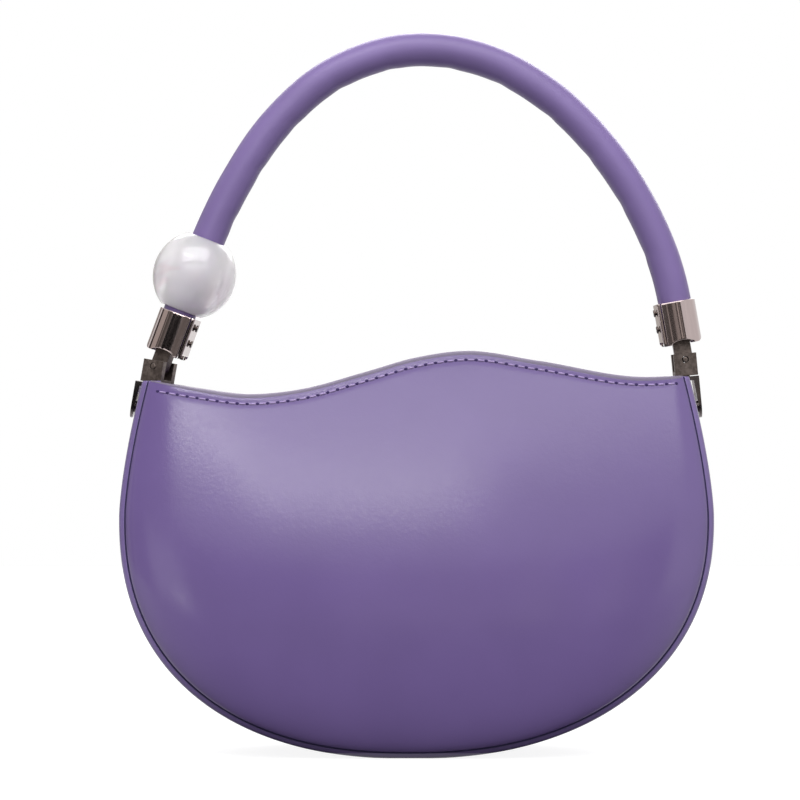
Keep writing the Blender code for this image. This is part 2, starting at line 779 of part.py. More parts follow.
def bracket_screw(place, data):
    inside = nut_seat() - GAP
    profile = (
        (0, inside - NUT_HEAD), (NUT_RADIUS * 0.8, inside - NUT_HEAD),
        (NUT_RADIUS, inside - NUT_HEAD / 2), (NUT_RADIUS, inside), (NUT_STEM, inside),
        (NUT_STEM, -STRAP_ROOT - GAP), (0, -STRAP_ROOT - GAP),
    )
    item = turned(f"bracket_screw_{place}", profile, post_frame(data), 16)
    return finish(item, GUNMETAL, 0.3, 1.0)


def clevis(place, data):
    frame = pin_frame(data)
    half = CLEVIS_DEPTH / 2
    slot = half - CLEVIS_EAR
    low = -CLEVIS_BELOW_PIN
    section = [
        (-half, low), (half, low), (half, CLEVIS_ABOVE_PIN), (slot, CLEVIS_ABOVE_PIN),
        (slot, low + CLEVIS_FLOOR), (-slot, low + CLEVIS_FLOOR), (-slot, CLEVIS_ABOVE_PIN),
        (-half, CLEVIS_ABOVE_PIN),
    ]
    item = prism(f"clevis_{place}", section, CLEVIS_WIDTH, facing_out(frame))
    stud = rod(f"stud_{place}", STUD_RADIUS, low - LEDGE_THICKNESS, low + CLEVIS_FLOOR / 2, frame)
    combine(item, stud, "UNION")
    back = facing_back(frame)
    combine(item, rod(f"ear_hole_{place}", PIN_RADIUS + GAP, -LIP, LIP, back), "DIFFERENCE")
    return finish(item, GUNMETAL, 0.4, 1.0, smooth=False)


def clevis_pin(place, data):
    reach = CLEVIS_DEPTH / 2 + PIN_OVERHANG
    pin = rod(f"clevis_pin_{place}", PIN_RADIUS, -reach, reach, facing_back(pin_frame(data)))
    return finish(pin, NICKEL, 0.3, 1.0)


def tongue(place, data):
    frame = tongue_frame(data)
    bar = TONGUE_WIDTH / 2
    head = TONGUE_HEAD_WIDTH / 2
    neck = data["reach"] - FERRULE_HEIGHT / 2 + HEM_RISE / 2
    low = -TONGUE_BELOW_PIN
    outline_points = [
        (bar, neck), (head, neck), (head, neck + TONGUE_HEAD_HEIGHT),
        (-head, neck + TONGUE_HEAD_HEIGHT), (-head, neck), (-bar, neck), (-bar, 0),
        (-bar * 0.7, low * 0.7), (0, low), (bar * 0.7, low * 0.7), (bar, 0),
    ]
    item = prism(f"tongue_{place}", outline_points, TONGUE_DEPTH, facing_back(frame))
    hole = rod(f"tongue_hole_{place}", PIN_RADIUS + GAP, -LIP, LIP, facing_back(pin_frame(data)))
    combine(item, hole, "DIFFERENCE")
    return finish(item, GUNMETAL, 0.4, 1.0, smooth=False)


# How far a ferrule's lower edge is cut up, in an arch and at the round side
def hem_lift(across):
    share = min(abs(across) / HEM_HALF, 1)
    past = max(across - FERRULE_RADIUS + FERRULE_CORNER, 0)
    corner = FERRULE_CORNER - math.sqrt(max(FERRULE_CORNER ** 2 - past ** 2, 0))
    return HEM_RISE * math.sqrt(1 - share ** 2) + corner


# The folded sheet of a ferrule, round on its outer side and open to the loop
def ferrule(place, data):
    frame = ferrule_frame(data)
    leg_end = -(FERRULE_REACH - PLATE_FLANGE - GAP)
    top = FERRULE_HEIGHT / 2
    grids = []
    for depth in (0.0, FERRULE_SHEET):
        radius = FERRULE_RADIUS - depth
        path = [(leg_end, -radius), (leg_end * 0.66, -radius), (leg_end * 0.33, -radius)]
        for i in range(13):
            angle = math.pi * (i / 12 - 0.5)
            path.append((radius * math.cos(angle), radius * math.sin(angle)))
        path += [(leg_end * 0.33, radius), (leg_end * 0.66, radius), (leg_end, radius)]
        grid = []
        for across, back in path:
            low = hem_lift(across) - top
            grid.append([Vector((across, back, up)) for up in (low, 0, top)])
        grids.append(grid)
    item = wall(f"ferrule_{place}", grids[0], grids[1], frame=frame)
    return finish(item, NICKEL, 0.15, 1.0)


# The closing plate, a channel whose folded sides meet the ferrule's sheet
def ferrule_plate(place, data):
    frame = ferrule_frame(data)
    top = FERRULE_HEIGHT / 2
    face = -FERRULE_REACH
    fold = face + PLATE_FLANGE
    outline_points = [(face, top), (fold, top), (fold, -top)]
    for i in range(5):
        angle = math.pi / 2 * i / 4
        across = face + FERRULE_CORNER * (1 - math.sin(angle))
        outline_points.append((across, FERRULE_CORNER * (1 - math.cos(angle)) - top))
    name = f"ferrule_plate_{place}"
    item = prism(name, outline_points, 2 * FERRULE_RADIUS, facing_back(frame))
    inner = face + PLATE_THICKNESS
    outside = fold + LIP
    room = [(inner, -2 * top), (outside, -2 * top), (outside, 2 * top), (inner, 2 * top)]
    width = 2 * (FERRULE_RADIUS - FERRULE_SHEET)
    combine(item, prism(f"plate_room_{place}", room, width, facing_back(frame)), "DIFFERENCE")
    for number, drop in enumerate(SCREW_DROPS, 1):
        level = facing_out(frame @ Matrix.Translation((0, 0, top - drop)))
        hole = rod(
            f"screw_hole_{place}_{number}", SCREW_STEM + GAP,
            -FERRULE_REACH - PLATE_THICKNESS, -FERRULE_RADIUS + PLATE_THICKNESS, level,
        )
        combine(item, hole, "DIFFERENCE")
    return finish(item, NICKEL, 0.18, 1.0, smooth=False)


def ferrule_screws(place, data):
    screws = []
    for number, drop in enumerate(SCREW_DROPS, 1):
        place_up = FERRULE_HEIGHT / 2 - drop
        level = facing_out(ferrule_frame(data) @ Matrix.Translation((0, 0, place_up)))
        face = -FERRULE_REACH - GAP
        profile = (
            (0, face - SCREW_HEAD), (SCREW_RADIUS * 0.8, face - SCREW_HEAD),
            (SCREW_RADIUS, face - SCREW_HEAD / 2), (SCREW_RADIUS, face), (SCREW_STEM, face),
            (SCREW_STEM, -HANDLE_RADIUS - GAP), (0, -HANDLE_RADIUS - GAP),
        )
        item = turned(f"ferrule_screw_{place}_{number}", profile, level, 12)
        screws.append(finish(item, GUNMETAL, 0.3, 1.0))
    return screws


# Handle
def handle_path():
    start = ferrule_frame(SIDES["left"]).translation
    end = ferrule_frame(SIDES["right"]).translation
    points = []
    for across, up in HANDLE_SHARES:
        point = start.lerp(end, across)
        points.append(point + Vector((0, 0, up * HANDLE_RISE)))
    inside = FERRULE_HEIGHT / 2 - TONGUE_HEAD_HEIGHT - HEM_RISE
    first = start - handle_direction(SIDES["left"]) * inside
    last = end - handle_direction(SIDES["right"]) * inside
    return [first, start] + points + [end, last]


def handle_knots():
    points = handle_path()
    knots = [0.0]
    for here, there in zip(points, points[1:]):
        knots.append(knots[-1] + (there - here).length)
    return knots


# The handle's middle, this far along from its left end
def handle_point(place):
    points = handle_path()
    knots = handle_knots()
    x = through(knots, [point.x for point in points], place)
    return Vector((x, 0, through(knots, [point.z for point in points], place)))


def handle_stations():
    steps = 32
    length = handle_knots()[-1]
    return [handle_point(length * i / steps) for i in range(steps + 1)]


def tube_rows(radius, turns):
    path = handle_stations()
    rows = []
    for i in range(turns):
        angle = FULL_TURN * i / turns
        row = []
        for k, point in enumerate(path):
            along = (path[min(k + 1, len(path) - 1)] - path[max(k - 1, 0)]).normalized()
            if k == 0:
                along = handle_direction(SIDES["left"])
            if k == len(path) - 1:
                along = -handle_direction(SIDES["right"])
            normal = along.cross(Vector((0, 1, 0)))
            side = normal * math.cos(angle) + Vector((0, 1, 0)) * math.sin(angle)
            row.append(point + side * radius)
        rows.append(row)
    return rows


def handle():
    cover = wall(
        "handle_cover", tube_rows(HANDLE_RADIUS, 14),
        tube_rows(HANDLE_RADIUS - HANDLE_WALL, 14), wrap=True,
    )
    finish(cover, PURPLE, 0.45)
    rows = tube_rows(HANDLE_RADIUS - HANDLE_WALL - GAP * 1.5, 8)
    count = len(rows)
    length = len(rows[0])
    points = [point for row in rows for point in row]
    faces = [
        tuple(i * length for i in range(count)),
        tuple((count - 1 - i) * length + length - 1 for i in range(count)),
    ]
    for i in range(count):
        j = (i + 1) % count
        for k in range(length - 1):
            faces.append((i * length + k, j * length + k, j * length + k + 1, i * length + k + 1))
    core = finish(solid("handle_core", points, faces), ROPE, 0.9)
    return [cover, core]


# Angle from the bead's axis to the edge of its mouth, and the mouth's place on the axis
def bead_mouth():
    mouth = HANDLE_RADIUS + BEAD_CLEARANCE + BEAD_MOUTH
    angle = math.asin(mouth / BEAD_RADIUS)
    return angle, BEAD_HALF_LENGTH * math.cos(angle)


def bead_frame():
    place = handle_knots()[1] + FERRULE_HEIGHT / 2 + BEAD_SEAT + bead_mouth()[1]
    low = handle_point(place - BEAD_HALF_LENGTH)
    high = handle_point(place + BEAD_HALF_LENGTH)
    return axes(low.lerp(high, 0.5), high - low, (1, 0, 0))


def bead():
    bore = HANDLE_RADIUS + BEAD_CLEARANCE
    start, end = bead_mouth()
    steps = 11
    profile = [(bore, -end + BEAD_MOUTH)]
    for i in range(steps + 1):
        angle = start + (math.pi - 2 * start) * i / steps
        profile.append((BEAD_RADIUS * math.sin(angle), -BEAD_HALF_LENGTH * math.cos(angle)))
    profile.append((bore, end - BEAD_MOUTH))
    item = turned("bead", profile, bead_frame(), 22, ring=True)
    return finish(item, PEARL, 0.12)


panel("front_panel", -1)
panel("back_panel", 1)
gusset()
facing("facing_front", -1)
facing("facing_back", 1)
zip_tape("zip_tape_front", -1)
zip_tape("zip_tape_back", 1)
zip_tab("zip_tab_left", -1)
zip_tab("zip_tab_right", 1)
base_board()
lining()
slip_pocket()

slider = zip_slider()
hang([slider], joint_empty("zip_start", (SLIDER_START, 0, FACING_Z)))
hang([zip_pull()], slider)

held = handle() + [bead()]
for place, data in SIDES.items():
    held += [
        side_bracket(place, data), bracket_screw(place, data), clevis(place, data),
        clevis_pin(place, data), tongue(place, data), ferrule(place, data),
        ferrule_plate(place, data),
    ]
    held += ferrule_screws(place, data)
hang(held, joint_empty("post_axis", (0, 0, POST_Z)))
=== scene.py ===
import math

import bpy
from mathutils import Matrix, Vector, noise


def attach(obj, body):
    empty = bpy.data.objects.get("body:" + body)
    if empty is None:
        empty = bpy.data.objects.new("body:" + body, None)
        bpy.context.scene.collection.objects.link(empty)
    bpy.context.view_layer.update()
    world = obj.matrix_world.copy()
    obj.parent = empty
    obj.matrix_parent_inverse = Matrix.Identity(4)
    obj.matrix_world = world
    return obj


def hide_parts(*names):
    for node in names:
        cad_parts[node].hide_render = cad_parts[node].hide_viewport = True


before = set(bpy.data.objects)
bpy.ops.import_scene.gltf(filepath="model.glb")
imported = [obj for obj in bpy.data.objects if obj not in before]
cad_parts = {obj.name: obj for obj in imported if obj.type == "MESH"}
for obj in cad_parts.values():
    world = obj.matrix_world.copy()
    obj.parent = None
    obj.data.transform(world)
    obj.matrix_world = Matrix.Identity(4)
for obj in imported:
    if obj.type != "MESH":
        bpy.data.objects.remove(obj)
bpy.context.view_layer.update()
bpy.ops.object.select_all(action="DESELECT")
print("frame loaded:", len(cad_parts), "nodes")

panelFaces = ((-1, "front"), (1, "back"))  # which way each one faces along y
tolerance = {"angle": 1e-9, "grid": 1e-6, "weld": 0.000005}
sheetAngles = {"bevel": 50, "smooth": 40}
copyLook = {"steps": 3, "angle": 38, "flat": 1}


def choose(*items):  # these alone, the first as active
    bpy.ops.object.select_all(action="DESELECT")
    for item in items:
        item.select_set(True)
        bpy.context.view_layer.objects.active = items[0]


def newObject(name, data):
    item = bpy.data.objects.new(name, data)
    bpy.context.collection.objects.link(item)
    return item


def useModifier(item, kind, **values):
    modifier = item.modifiers.new(kind.lower(), kind)
    for key, value in values.items():
        setattr(modifier, key, value)
    bpy.context.view_layer.objects.active = item
    bpy.ops.object.modifier_apply(modifier=modifier.name)


def roundEdges(item, width, steps, angle):
    useModifier(item, "BEVEL", width=width, segments=steps, limit_method="ANGLE",
                angle_limit=math.radians(angle), use_clamp_overlap=True)


def inEditMode(item, *steps):
    choose(item)
    bpy.ops.object.mode_set(mode="EDIT")
    bpy.ops.mesh.select_all(action="SELECT")
    for step in steps:
        step()
    bpy.ops.object.mode_set(mode="OBJECT")
    item.select_set(False)


def weld():
    bpy.ops.mesh.remove_doubles(threshold=tolerance["weld"])


def faceOut():
    bpy.ops.mesh.normals_make_consistent(inside=False)


def closeEnds():
    bpy.ops.mesh.fill_holes(sides=0)


def smooth(item, degrees):
    choose(item)
    bpy.ops.object.shade_smooth_by_angle(angle=math.radians(degrees))
    item.select_set(False)


def named(name):
    item = bpy.context.object
    item.name = item.data.name = name
    item.select_set(False)
    return item


# A grid whose points go where put(u, v) says. The piece faces along u x v.
def bentGrid(name, columns, rows, put):
    choose()
    bpy.ops.mesh.primitive_grid_add(x_subdivisions=columns, y_subdivisions=rows, size=1)
    item = named(name)
    for point in item.data.vertices:
        point.co = put(point.co.x + 0.5, point.co.y + 0.5)
    return item


def sheet(name, columns, rows, put, thickness, edge, edgeSteps=2):
    item = bentGrid(name, columns, rows, put)
    inEditMode(item, weld)
    useModifier(item, "SOLIDIFY", thickness=thickness, offset=-1, use_even_offset=False)
    roundEdges(item, edge, edgeSteps, sheetAngles["bevel"])
    smooth(item, sheetAngles["smooth"])
    return item


# A grid whose points roll it into a tube, with its ends closed
def rolledGrid(name, columns, rows, put, smoothAngle):
    item = bentGrid(name, columns, rows, put)
    inEditMode(item, weld, closeEnds, faceOut)
    smooth(item, smoothAngle)
    return item


# The mesh of a CAD node as a new piece, with its edges rounded
def softCopy(name, node, width):
    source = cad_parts[node]
    mesh = source.data.copy()
    mesh.name = name
    mesh.transform(source.matrix_world)
    item = newObject(name, mesh)
    flat = math.radians(copyLook["flat"])
    inEditMode(item, weld, lambda: bpy.ops.mesh.dissolve_limited(angle_limit=flat))
    roundEdges(item, width, copyLook["steps"], copyLook["angle"])
    smooth(item, copyLook["angle"])
    useModifier(item, "WEIGHTED_NORMAL", keep_sharp=True)
    return item


# One piece of many copies of the model, which is removed
def copies(name, model, places):
    made = []
    for place in places:
        item = newObject(name, model.data.copy())
        item.data.transform(place)
        made.append(item)
    bpy.data.objects.remove(model, do_unlink=True)
    choose(*made)
    bpy.ops.object.join()
    return named(name)


def fit(item, body, slotName, material, *nodes):
    item.data.materials.clear()
    item.data.materials.append(material)
    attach(item, body)
    if nodes:
        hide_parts(*nodes)


def clamp(value, low=-1, high=1):
    return min(max(value, low), high)


def smoothStep(low, high, value):
    share = clamp((value - low) / (high - low), 0, 1)
    return share * share * (3 - 2 * share)


def bump(value, middle, width):  # a smooth hump of height 1
    return math.exp(-((value - middle) / width) ** 2)


# A smooth line through values at rising knots
def through(knots, values, place):
    count = len(knots)
    i = 0
    while i < count - 2 and place > knots[i + 1]:
        i += 1

    def slope(k):
        low, high = max(k - 1, 0), min(k + 1, count - 1)
        if k in (low, high):
            return (values[high] - values[low]) / (knots[high] - knots[low])
        before = (values[k] - values[low]) / (knots[k] - knots[low])
        after = (values[high] - values[k]) / (knots[high] - knots[k])
        weight = (knots[high] - knots[k]) / (knots[high] - knots[low])
        return before * weight + after * (1 - weight)

    width = knots[i + 1] - knots[i]
    t = (place - knots[i]) / width
    rise = values[i + 1] - values[i]
    a = slope(i) * width - rise
    b = rise - slope(i + 1) * width
    return values[i] + t * rise + t * (1 - t) * ((1 - t) * a + t * b)


def axes(origin, along, across):  # third axis along, first nearest to across
    third = Vector(along).normalized()
    first = Vector(across)
    first = (first - third * first.dot(third)).normalized()
    turn = Matrix((first, third.cross(first), third)).transposed().to_4x4()
    return Matrix.Translation(origin) @ turn


def setInputs(node, values):  # links sockets, and gives colours their alpha
    for name, value in values.items():
        socket = node.inputs[name]
        if isinstance(value, bpy.types.NodeSocket):
            node.id_data.links.new(value, socket)
        else:
            socket.default_value = (*value, 1) if socket.type == "RGBA" else value


def addNode(tree, kind, inputs, **settings):
    node = tree.nodes.new("ShaderNode" + kind)
    for key, value in settings.items():
        setattr(node, key, value)
    setInputs(node, inputs)
    return node


def newMaterial(name, colour, roughness, metallic=0.0):
    material = bpy.data.materials.new(name)
    material.use_nodes = True
    tree = material.node_tree
    shader = tree.nodes["Principled BSDF"]
    setInputs(shader, {"Base Color": colour, "Roughness": roughness, "Metallic": metallic})
    return material, tree, shader


def objectPlace(tree):
    return addNode(tree, "TexCoord", {}).outputs["Object"]


def clouds(tree, place, scale, detail, **inputs):
    return addNode(tree, "TexNoise", {"Vector": place, "Scale": scale, "Detail": detail,
                                      **inputs}).outputs["Fac"]


def calculate(tree, operation, *sources):
    return addNode(tree, "Math", dict(enumerate(sources)), operation=operation).outputs[0]


def spread(tree, source, low, high, start=0.0, end=1.0):
    return addNode(tree, "MapRange", {"Value": source, "From Min": start, "From Max": end,
                                      "To Min": low, "To Max": high}).outputs["Result"]


# Of a colour mix, inputs 6 and 7 are the colours, and output 2 is the result
def blendColours(tree, factor, first, second):
    return addNode(tree, "Mix", {0: factor, 6: first, 7: second}, data_type="RGBA").outputs[2]


def raised(tree, height, distance, strength, below=None):
    node = addNode(tree, "Bump", {"Height": height, "Distance": distance,
                                  "Strength": strength})
    if below is not None:
        setInputs(node, {"Normal": below})
    return node.outputs["Normal"]


def shaded(colour, share):
    return tuple(part * share for part in colour)


leatherLook = {
    "cloud": (28, 3), "cloudRange": (0.35, 0.65), "cellDetail": 1, "cellStrength": 0.35,
    "poreShare": 0.4, "poreDetail": 4, "poreDepth": 0.00004, "roughRange": (0.3, 0.7),
    "waves": (55, 2), "waveDepth": 0.0003,
}


# The strengths of its bumps are wave and pore. Its colour shifts in large clouds.
def leather(name, colour, roughness, grain=1900, grainDepth=0.00003, uneven=0.05, wave=0.12,
            shift=0.88, pore=0.10, gloss=0.5, floorShade=None):
    look = leatherLook
    material, tree, shader = newMaterial(name, colour, roughness)
    place = objectPlace(tree)
    cloud = spread(tree, clouds(tree, place, *look["cloud"]), 0, 1, *look["cloudRange"])
    skin = blendColours(tree, cloud, shaded(colour, shift), colour)
    # painted shade: the colour darkens towards the floor, standing in for the shadow there
    if floorShade:  # darker towards the floor
        height = addNode(tree, "SeparateXYZ", {0: place}).outputs["Z"]
        high = spread(tree, height, 0, 1, *floorShade["heights"])
        skin = blendColours(tree, high, shaded(colour, floorShade["shade"]), skin)
    cells = clouds(tree, place, grain, look["cellDetail"])
    pores = clouds(tree, place, grain * look["poreShare"], look["poreDetail"])
    waves = clouds(tree, place, *look["waves"])
    rough = spread(tree, pores, roughness - uneven, roughness + uneven, *look["roughRange"])
    normal = raised(tree, waves, look["waveDepth"], wave)
    normal = raised(tree, pores, look["poreDepth"], pore, normal)
    normal = raised(tree, cells, grainDepth, look["cellStrength"], normal)
    setInputs(shader, {"Base Color": skin, "Roughness": rough, "Normal": normal,
                       "Specular IOR Level": gloss})
    return material


metalLook = {
    "fine": (700, 5), "fineRoughness": 0.7, "fineRange": (0.38, 0.62), "fineDepth": 0.00003,
    "fineStrength": 0.1, "wide": (160, 3), "wideRange": (0.3, 0.7), "wideDepth": 0.0002,
    "wideStrength": 0.12, "smoothest": 0.7, "roughest": 1.4, "stretch": 14,
}


def metal(name, colour, roughness, spots, brushed=0.0, drawn=None):
    look = metalLook
    material, tree, shader = newMaterial(name, colour, roughness, 1.0)
    place = objectPlace(tree)
    if drawn is not None:  # long marks along a piece that leans by this angle
        turned = {"Vector": place, "Rotation": (0, math.radians(drawn), 0),
                  "Scale": (1, 1, look["stretch"])}
        place = addNode(tree, "Mapping", turned, vector_type="TEXTURE").outputs["Vector"]
    fine = clouds(tree, place, *look["fine"], Roughness=look["fineRoughness"])
    wide = clouds(tree, place, *look["wide"])
    rough = spread(tree, wide, roughness * look["smoothest"], roughness * look["roughest"],
                   *look["wideRange"])
    spot = spread(tree, fine, 0, 1, *look["fineRange"])
    skin = blendColours(tree, spot, shaded(colour, 1 - spots), colour)
    normal = raised(tree, wide, look["wideDepth"], look["wideStrength"])
    normal = raised(tree, fine, look["fineDepth"], look["fineStrength"] + brushed, normal)
    setInputs(shader, {"Base Color": skin, "Roughness": rough, "Normal": normal})
    return material


wovenLook = {"roughness": 0.85, "turn": 6.28, "bend": 0.6, "shade": 0.55, "depth": 0.0001,
             "strength": 0.5}


def woven(name, colour, pitch):
    look = wovenLook
    material, tree, shader = newMaterial(name, colour, look["roughness"])
    waves = {"Vector": objectPlace(tree), "Scale": 2 / look["turn"] / pitch,
             "Distortion": look["bend"]}
    threads = [addNode(tree, "TexWave", waves, bands_direction=direction).outputs["Fac"]
               for direction in ("X", "Z")]
    crossing = calculate(tree, "MULTIPLY", *threads)
    skin = blendColours(tree, crossing, shaded(colour, look["shade"]), colour)
    setInputs(shader, {"Base Color": skin,
                       "Normal": raised(tree, crossing, look["depth"], look["strength"])})
    return material


pearlLook = {
    "milk": (0.99, 0.95, 0.97), "grey": (0.92, 0.88, 0.93), "white": (1.0, 0.98, 1.0),
    "pink": (0.92, 0.68, 0.71), "roughness": 0.35, "warp": (45, 1), "warpReach": 0.016,
    "swirl": (60, 2), "swirlRoughness": 0.45, "swirlBend": 0.5, "cloudRange": (0.38, 0.56),
    "veins": (15, 2), "veinBend": 2.5, "veinStrength": 0.6, "veinRange": (0.80, 1.0),
    "fleckStrength": 0.55, "fleckRange": (0.33, 0.46), "depth": 0.0003, "strength": 0.12,
    "body": {"Subsurface Weight": 0.8, "Subsurface Radius": (0.006, 0.0055, 0.006),
             "Subsurface Scale": 1.0, "Transmission Weight": 0.58, "Specular IOR Level": 0.15,
             "Sheen Weight": 0.3, "Sheen Roughness": 0.4, "Coat Weight": 1.0,
             "Coat Roughness": 0.03},
}


def pearl(name):  # milky, with greyer clouds, white veins, pink flecks
    look = pearlLook
    material, tree, shader = newMaterial(name, look["milk"], look["roughness"])
    place = objectPlace(tree)
    scale, detail = look["warp"]
    warp = addNode(tree, "TexNoise", {"Vector": place, "Scale": scale, "Detail": detail})
    moved = {0: warp.outputs["Color"], 1: (look["warpReach"],) * 3, 2: place}
    moved = addNode(tree, "VectorMath", moved, operation="MULTIPLY_ADD").outputs[0]
    swirl = clouds(tree, moved, *look["swirl"], Roughness=look["swirlRoughness"],
                   Distortion=look["swirlBend"])
    scale, detail = look["veins"]
    veins = {"Vector": moved, "Scale": scale, "Detail": detail, "Distortion": look["veinBend"]}
    veins = addNode(tree, "TexWave", veins, bands_direction="X").outputs["Fac"]
    cloud = spread(tree, swirl, 0, 1, *look["cloudRange"])
    colour = blendColours(tree, cloud, look["grey"], look["milk"])
    line = spread(tree, veins, 0, look["veinStrength"], *look["veinRange"])
    colour = blendColours(tree, line, colour, look["white"])
    fleck = spread(tree, swirl, look["fleckStrength"], 0, *look["fleckRange"])
    colour = blendColours(tree, fleck, colour, look["pink"])
    normal = raised(tree, swirl, look["depth"], look["strength"])
    setInputs(shader, {"Base Color": colour, "Normal": normal, **look["body"]})
    return material


finishes = {
    "purple": (0.180, 0.122, 0.325), "handle": (0.230, 0.162, 0.388),
    "gusset": (0.212, 0.150, 0.370), "edge": (0.250, 0.210, 0.310),
    "inner": (0.125, 0.090, 0.235), "thread": (0.430, 0.320, 0.600),
    "hole": (0.030, 0.012, 0.095), "seam": (0.016, 0.008, 0.060),
    "lining": (0.150, 0.120, 0.200), "tape": (0.110, 0.080, 0.200),
    "nickel": (0.490, 0.405, 0.395), "gunmetal": (0.185, 0.150, 0.135),
    "blackNickel": (0.160, 0.142, 0.140), "rope": (0.62, 0.56, 0.48),
    "board": (0.300, 0.240, 0.170),
}
purpleLeather = leather("purpleLeather", finishes["purple"], 0.15, uneven=0.02, wave=0.08,
                        pore=0.5, shift=0.94)
# The gusset's purple is lighter than the panels': a painted highlight standing in for light
# from the sides. Towards the floor its colour is painted darker: painted shade.
gussetLeather = leather("gussetLeather", finishes["gusset"], 0.19, uneven=0.03,
                        floorShade={"heights": (0.001, 0.040), "shade": 0.42})
# The handle's purple is lighter than the panels': painted light, standing in for the fill that
# reaches its underside.
handleLeather = leather("handleLeather", finishes["handle"], 0.39, grain=1700, uneven=0.03,
                        wave=0.3, pore=0.3, gloss=0.36)
innerLeather = leather("innerLeather", finishes["inner"], 0.5)
# partly painted reflection: the edge paint is greyer and lighter, standing in for the sheen on
# the rounded edge
edgePaintAndSheen = leather("edgePaintAndSheen", finishes["edge"], 0.42, grain=900, grainDepth=0.00001)
stitchThread = leather("stitchThread", finishes["thread"], 0.55, grain=3500)
# painted shadow: the seam's dark groove, together with its edge paint
seamShadowAndPaint = leather("seamShadowAndPaint", finishes["seam"], 0.8, grain=900, grainDepth=0.00001)
# painted shade: dark discs on the face stand in for the shade inside the needle holes
needleHoleShade = leather("needleHoleShade", finishes["hole"], 0.8)
liningCloth = woven("liningCloth", finishes["lining"], 0.0006)
tapeCloth = woven("tapeCloth", finishes["tape"], 0.0005)
nickel = metal("polishedNickel", finishes["nickel"], 0.10, spots=0.05)
sleeveNickel = {
    "left": metal("sleeveNickelLeft", finishes["nickel"], 0.09, spots=0.08, drawn=20.3),
    "right": metal("sleeveNickelRight", finishes["nickel"], 0.09, spots=0.08, drawn=-10.0),
}
gunmetal = metal("satinGunmetal", finishes["gunmetal"], 0.36, brushed=0.5, spots=0.45)
blackNickel = metal("blackNickel", finishes["blackNickel"], 0.17, brushed=0.1, spots=0.2)
ropeYarn = woven("ropeYarn", finishes["rope"], 0.0008)
stiffBoard = leather("stiffBoard", finishes["board"], 0.8, grain=500)
pearlAcrylic = pearl("pearlAcrylic")
print("materials made")


# The bag's shape, as in the CAD
bag = {
    "halfWidth": 0.1113, "crest": 0.1509, "topZ": 0.1400, "widestZ": 0.0896, "sink": 0.0003,
    "power": 2.27, "skew": 0.0025, "taper": 0.0083, "taperPower": 1.5, "straight": 0.125,
    "leather": 0.0018, "gap": 0.0003, "seamInset": 0.0024, "seamTop": 0.0140,
    "seamBottom": 0.0280, "crown": 0.0135, "rimCrown": 0.0060, "crownFade": 0.0500,
    "fadePower": 1.5, "crownPower": 2.4, "crownEdge": 0.56, "middleZ": 0.0780,
    "rim": ((-1.0, 0.928), (-0.82, 0.908), (-0.63, 0.893), (-0.43, 0.905), (-0.20, 0.946),
            (0.0, 0.984), (0.18, 1.0), (0.45, 0.976), (0.83, 0.936), (1.0, 0.939)),
}


def sideHalf(z, inset):
    rise = max(z - bag["widestZ"], 0) / (bag["topZ"] - bag["widestZ"])
    return bag["halfWidth"] - inset - bag["taper"] * rise ** bag["taperPower"]


rimKnots = [place for place, height in bag["rim"]]
rimHeights = [height * bag["crest"] for place, height in bag["rim"]]
rimHalf = sideHalf(bag["topZ"], bag["seamInset"])
panelInset = bag["seamInset"] + bag["gap"]
rimReach = sideHalf(rimHeights[-1], panelInset)


def rimHeight(x):
    return through(rimKnots, rimHeights, clamp(x / rimHalf))


def outline(share, inset, dip=0.0):
    side = -1 if share < 0.5 else 1
    way = min(share, 1 - share)
    if way < bag["straight"]:
        corner = rimHeights[0 if side < 0 else -1] - dip
        z = corner + (bag["widestZ"] - corner) * way / bag["straight"]
        return side * sideHalf(z, inset), z
    angle = math.pi * (way - bag["straight"]) / (1 - 2 * bag["straight"])
    power = 2 / bag["power"]
    reach = math.cos(angle) ** power if angle < math.pi / 2 - tolerance["angle"] else 0
    drop = math.sin(angle) ** power
    x = side * (bag["halfWidth"] - inset) * reach - bag["skew"] * drop * drop
    z = bag["widestZ"] - (bag["widestZ"] + bag["sink"] - inset) * drop
    return x, max(z, 0)


def seamHalf(z):
    return bag["seamTop"] + (bag["seamBottom"] - bag["seamTop"]) * (1 - z / bag["topZ"])


def halfDepth(x, z, inset, loss=0.0):
    drop = max(bag["widestZ"] - z, 0) / (bag["widestZ"] + bag["sink"] - inset)
    across = abs(x + bag["skew"] * drop * drop) / sideHalf(z, inset)
    power = bag["power"]
    radial = min((across ** power + drop ** power) ** (1 / power), 1)
    low = bag["crownFade"]
    fade = (max(z - low, 0) / (bag["crest"] - low)) ** bag["fadePower"]
    crown = bag["crown"] + (bag["rimCrown"] - bag["crown"]) * fade - loss
    bulge = (1 - radial ** bag["crownPower"]) ** bag["crownEdge"]
    return seamHalf(z) + bag["gap"] + crown * bulge


def panelInside(x, z):
    return halfDepth(x, z, panelInset + bag["leather"], bag["leather"])


stitch = {
    "drops": ((-1.0, 0.0033), (-0.6, 0.0034), (0.18, 0.0031), (0.6, 0.0030), (1.0, 0.0025)),
    "pitch": 0.0038, "end": 0.0038, "groove": 0.00010, "grooveWidth": 0.0011,
    "grooveEnd": (0.93, 0.99), "near": 0.01, "step": 0.0005, "slopeStep": 0.001,
    "thread": 0.00034, "threadShare": 0.96, "hole": 0.00066, "holeShape": (0.3, 0.85, 1.0, 1),
    "raise": 0.00014, "threadSides": 8, "holeSides": 10, "rings": 6,
}


def stitchDrop(x):
    return through(*zip(*stitch["drops"]), clamp(x / rimHalf))


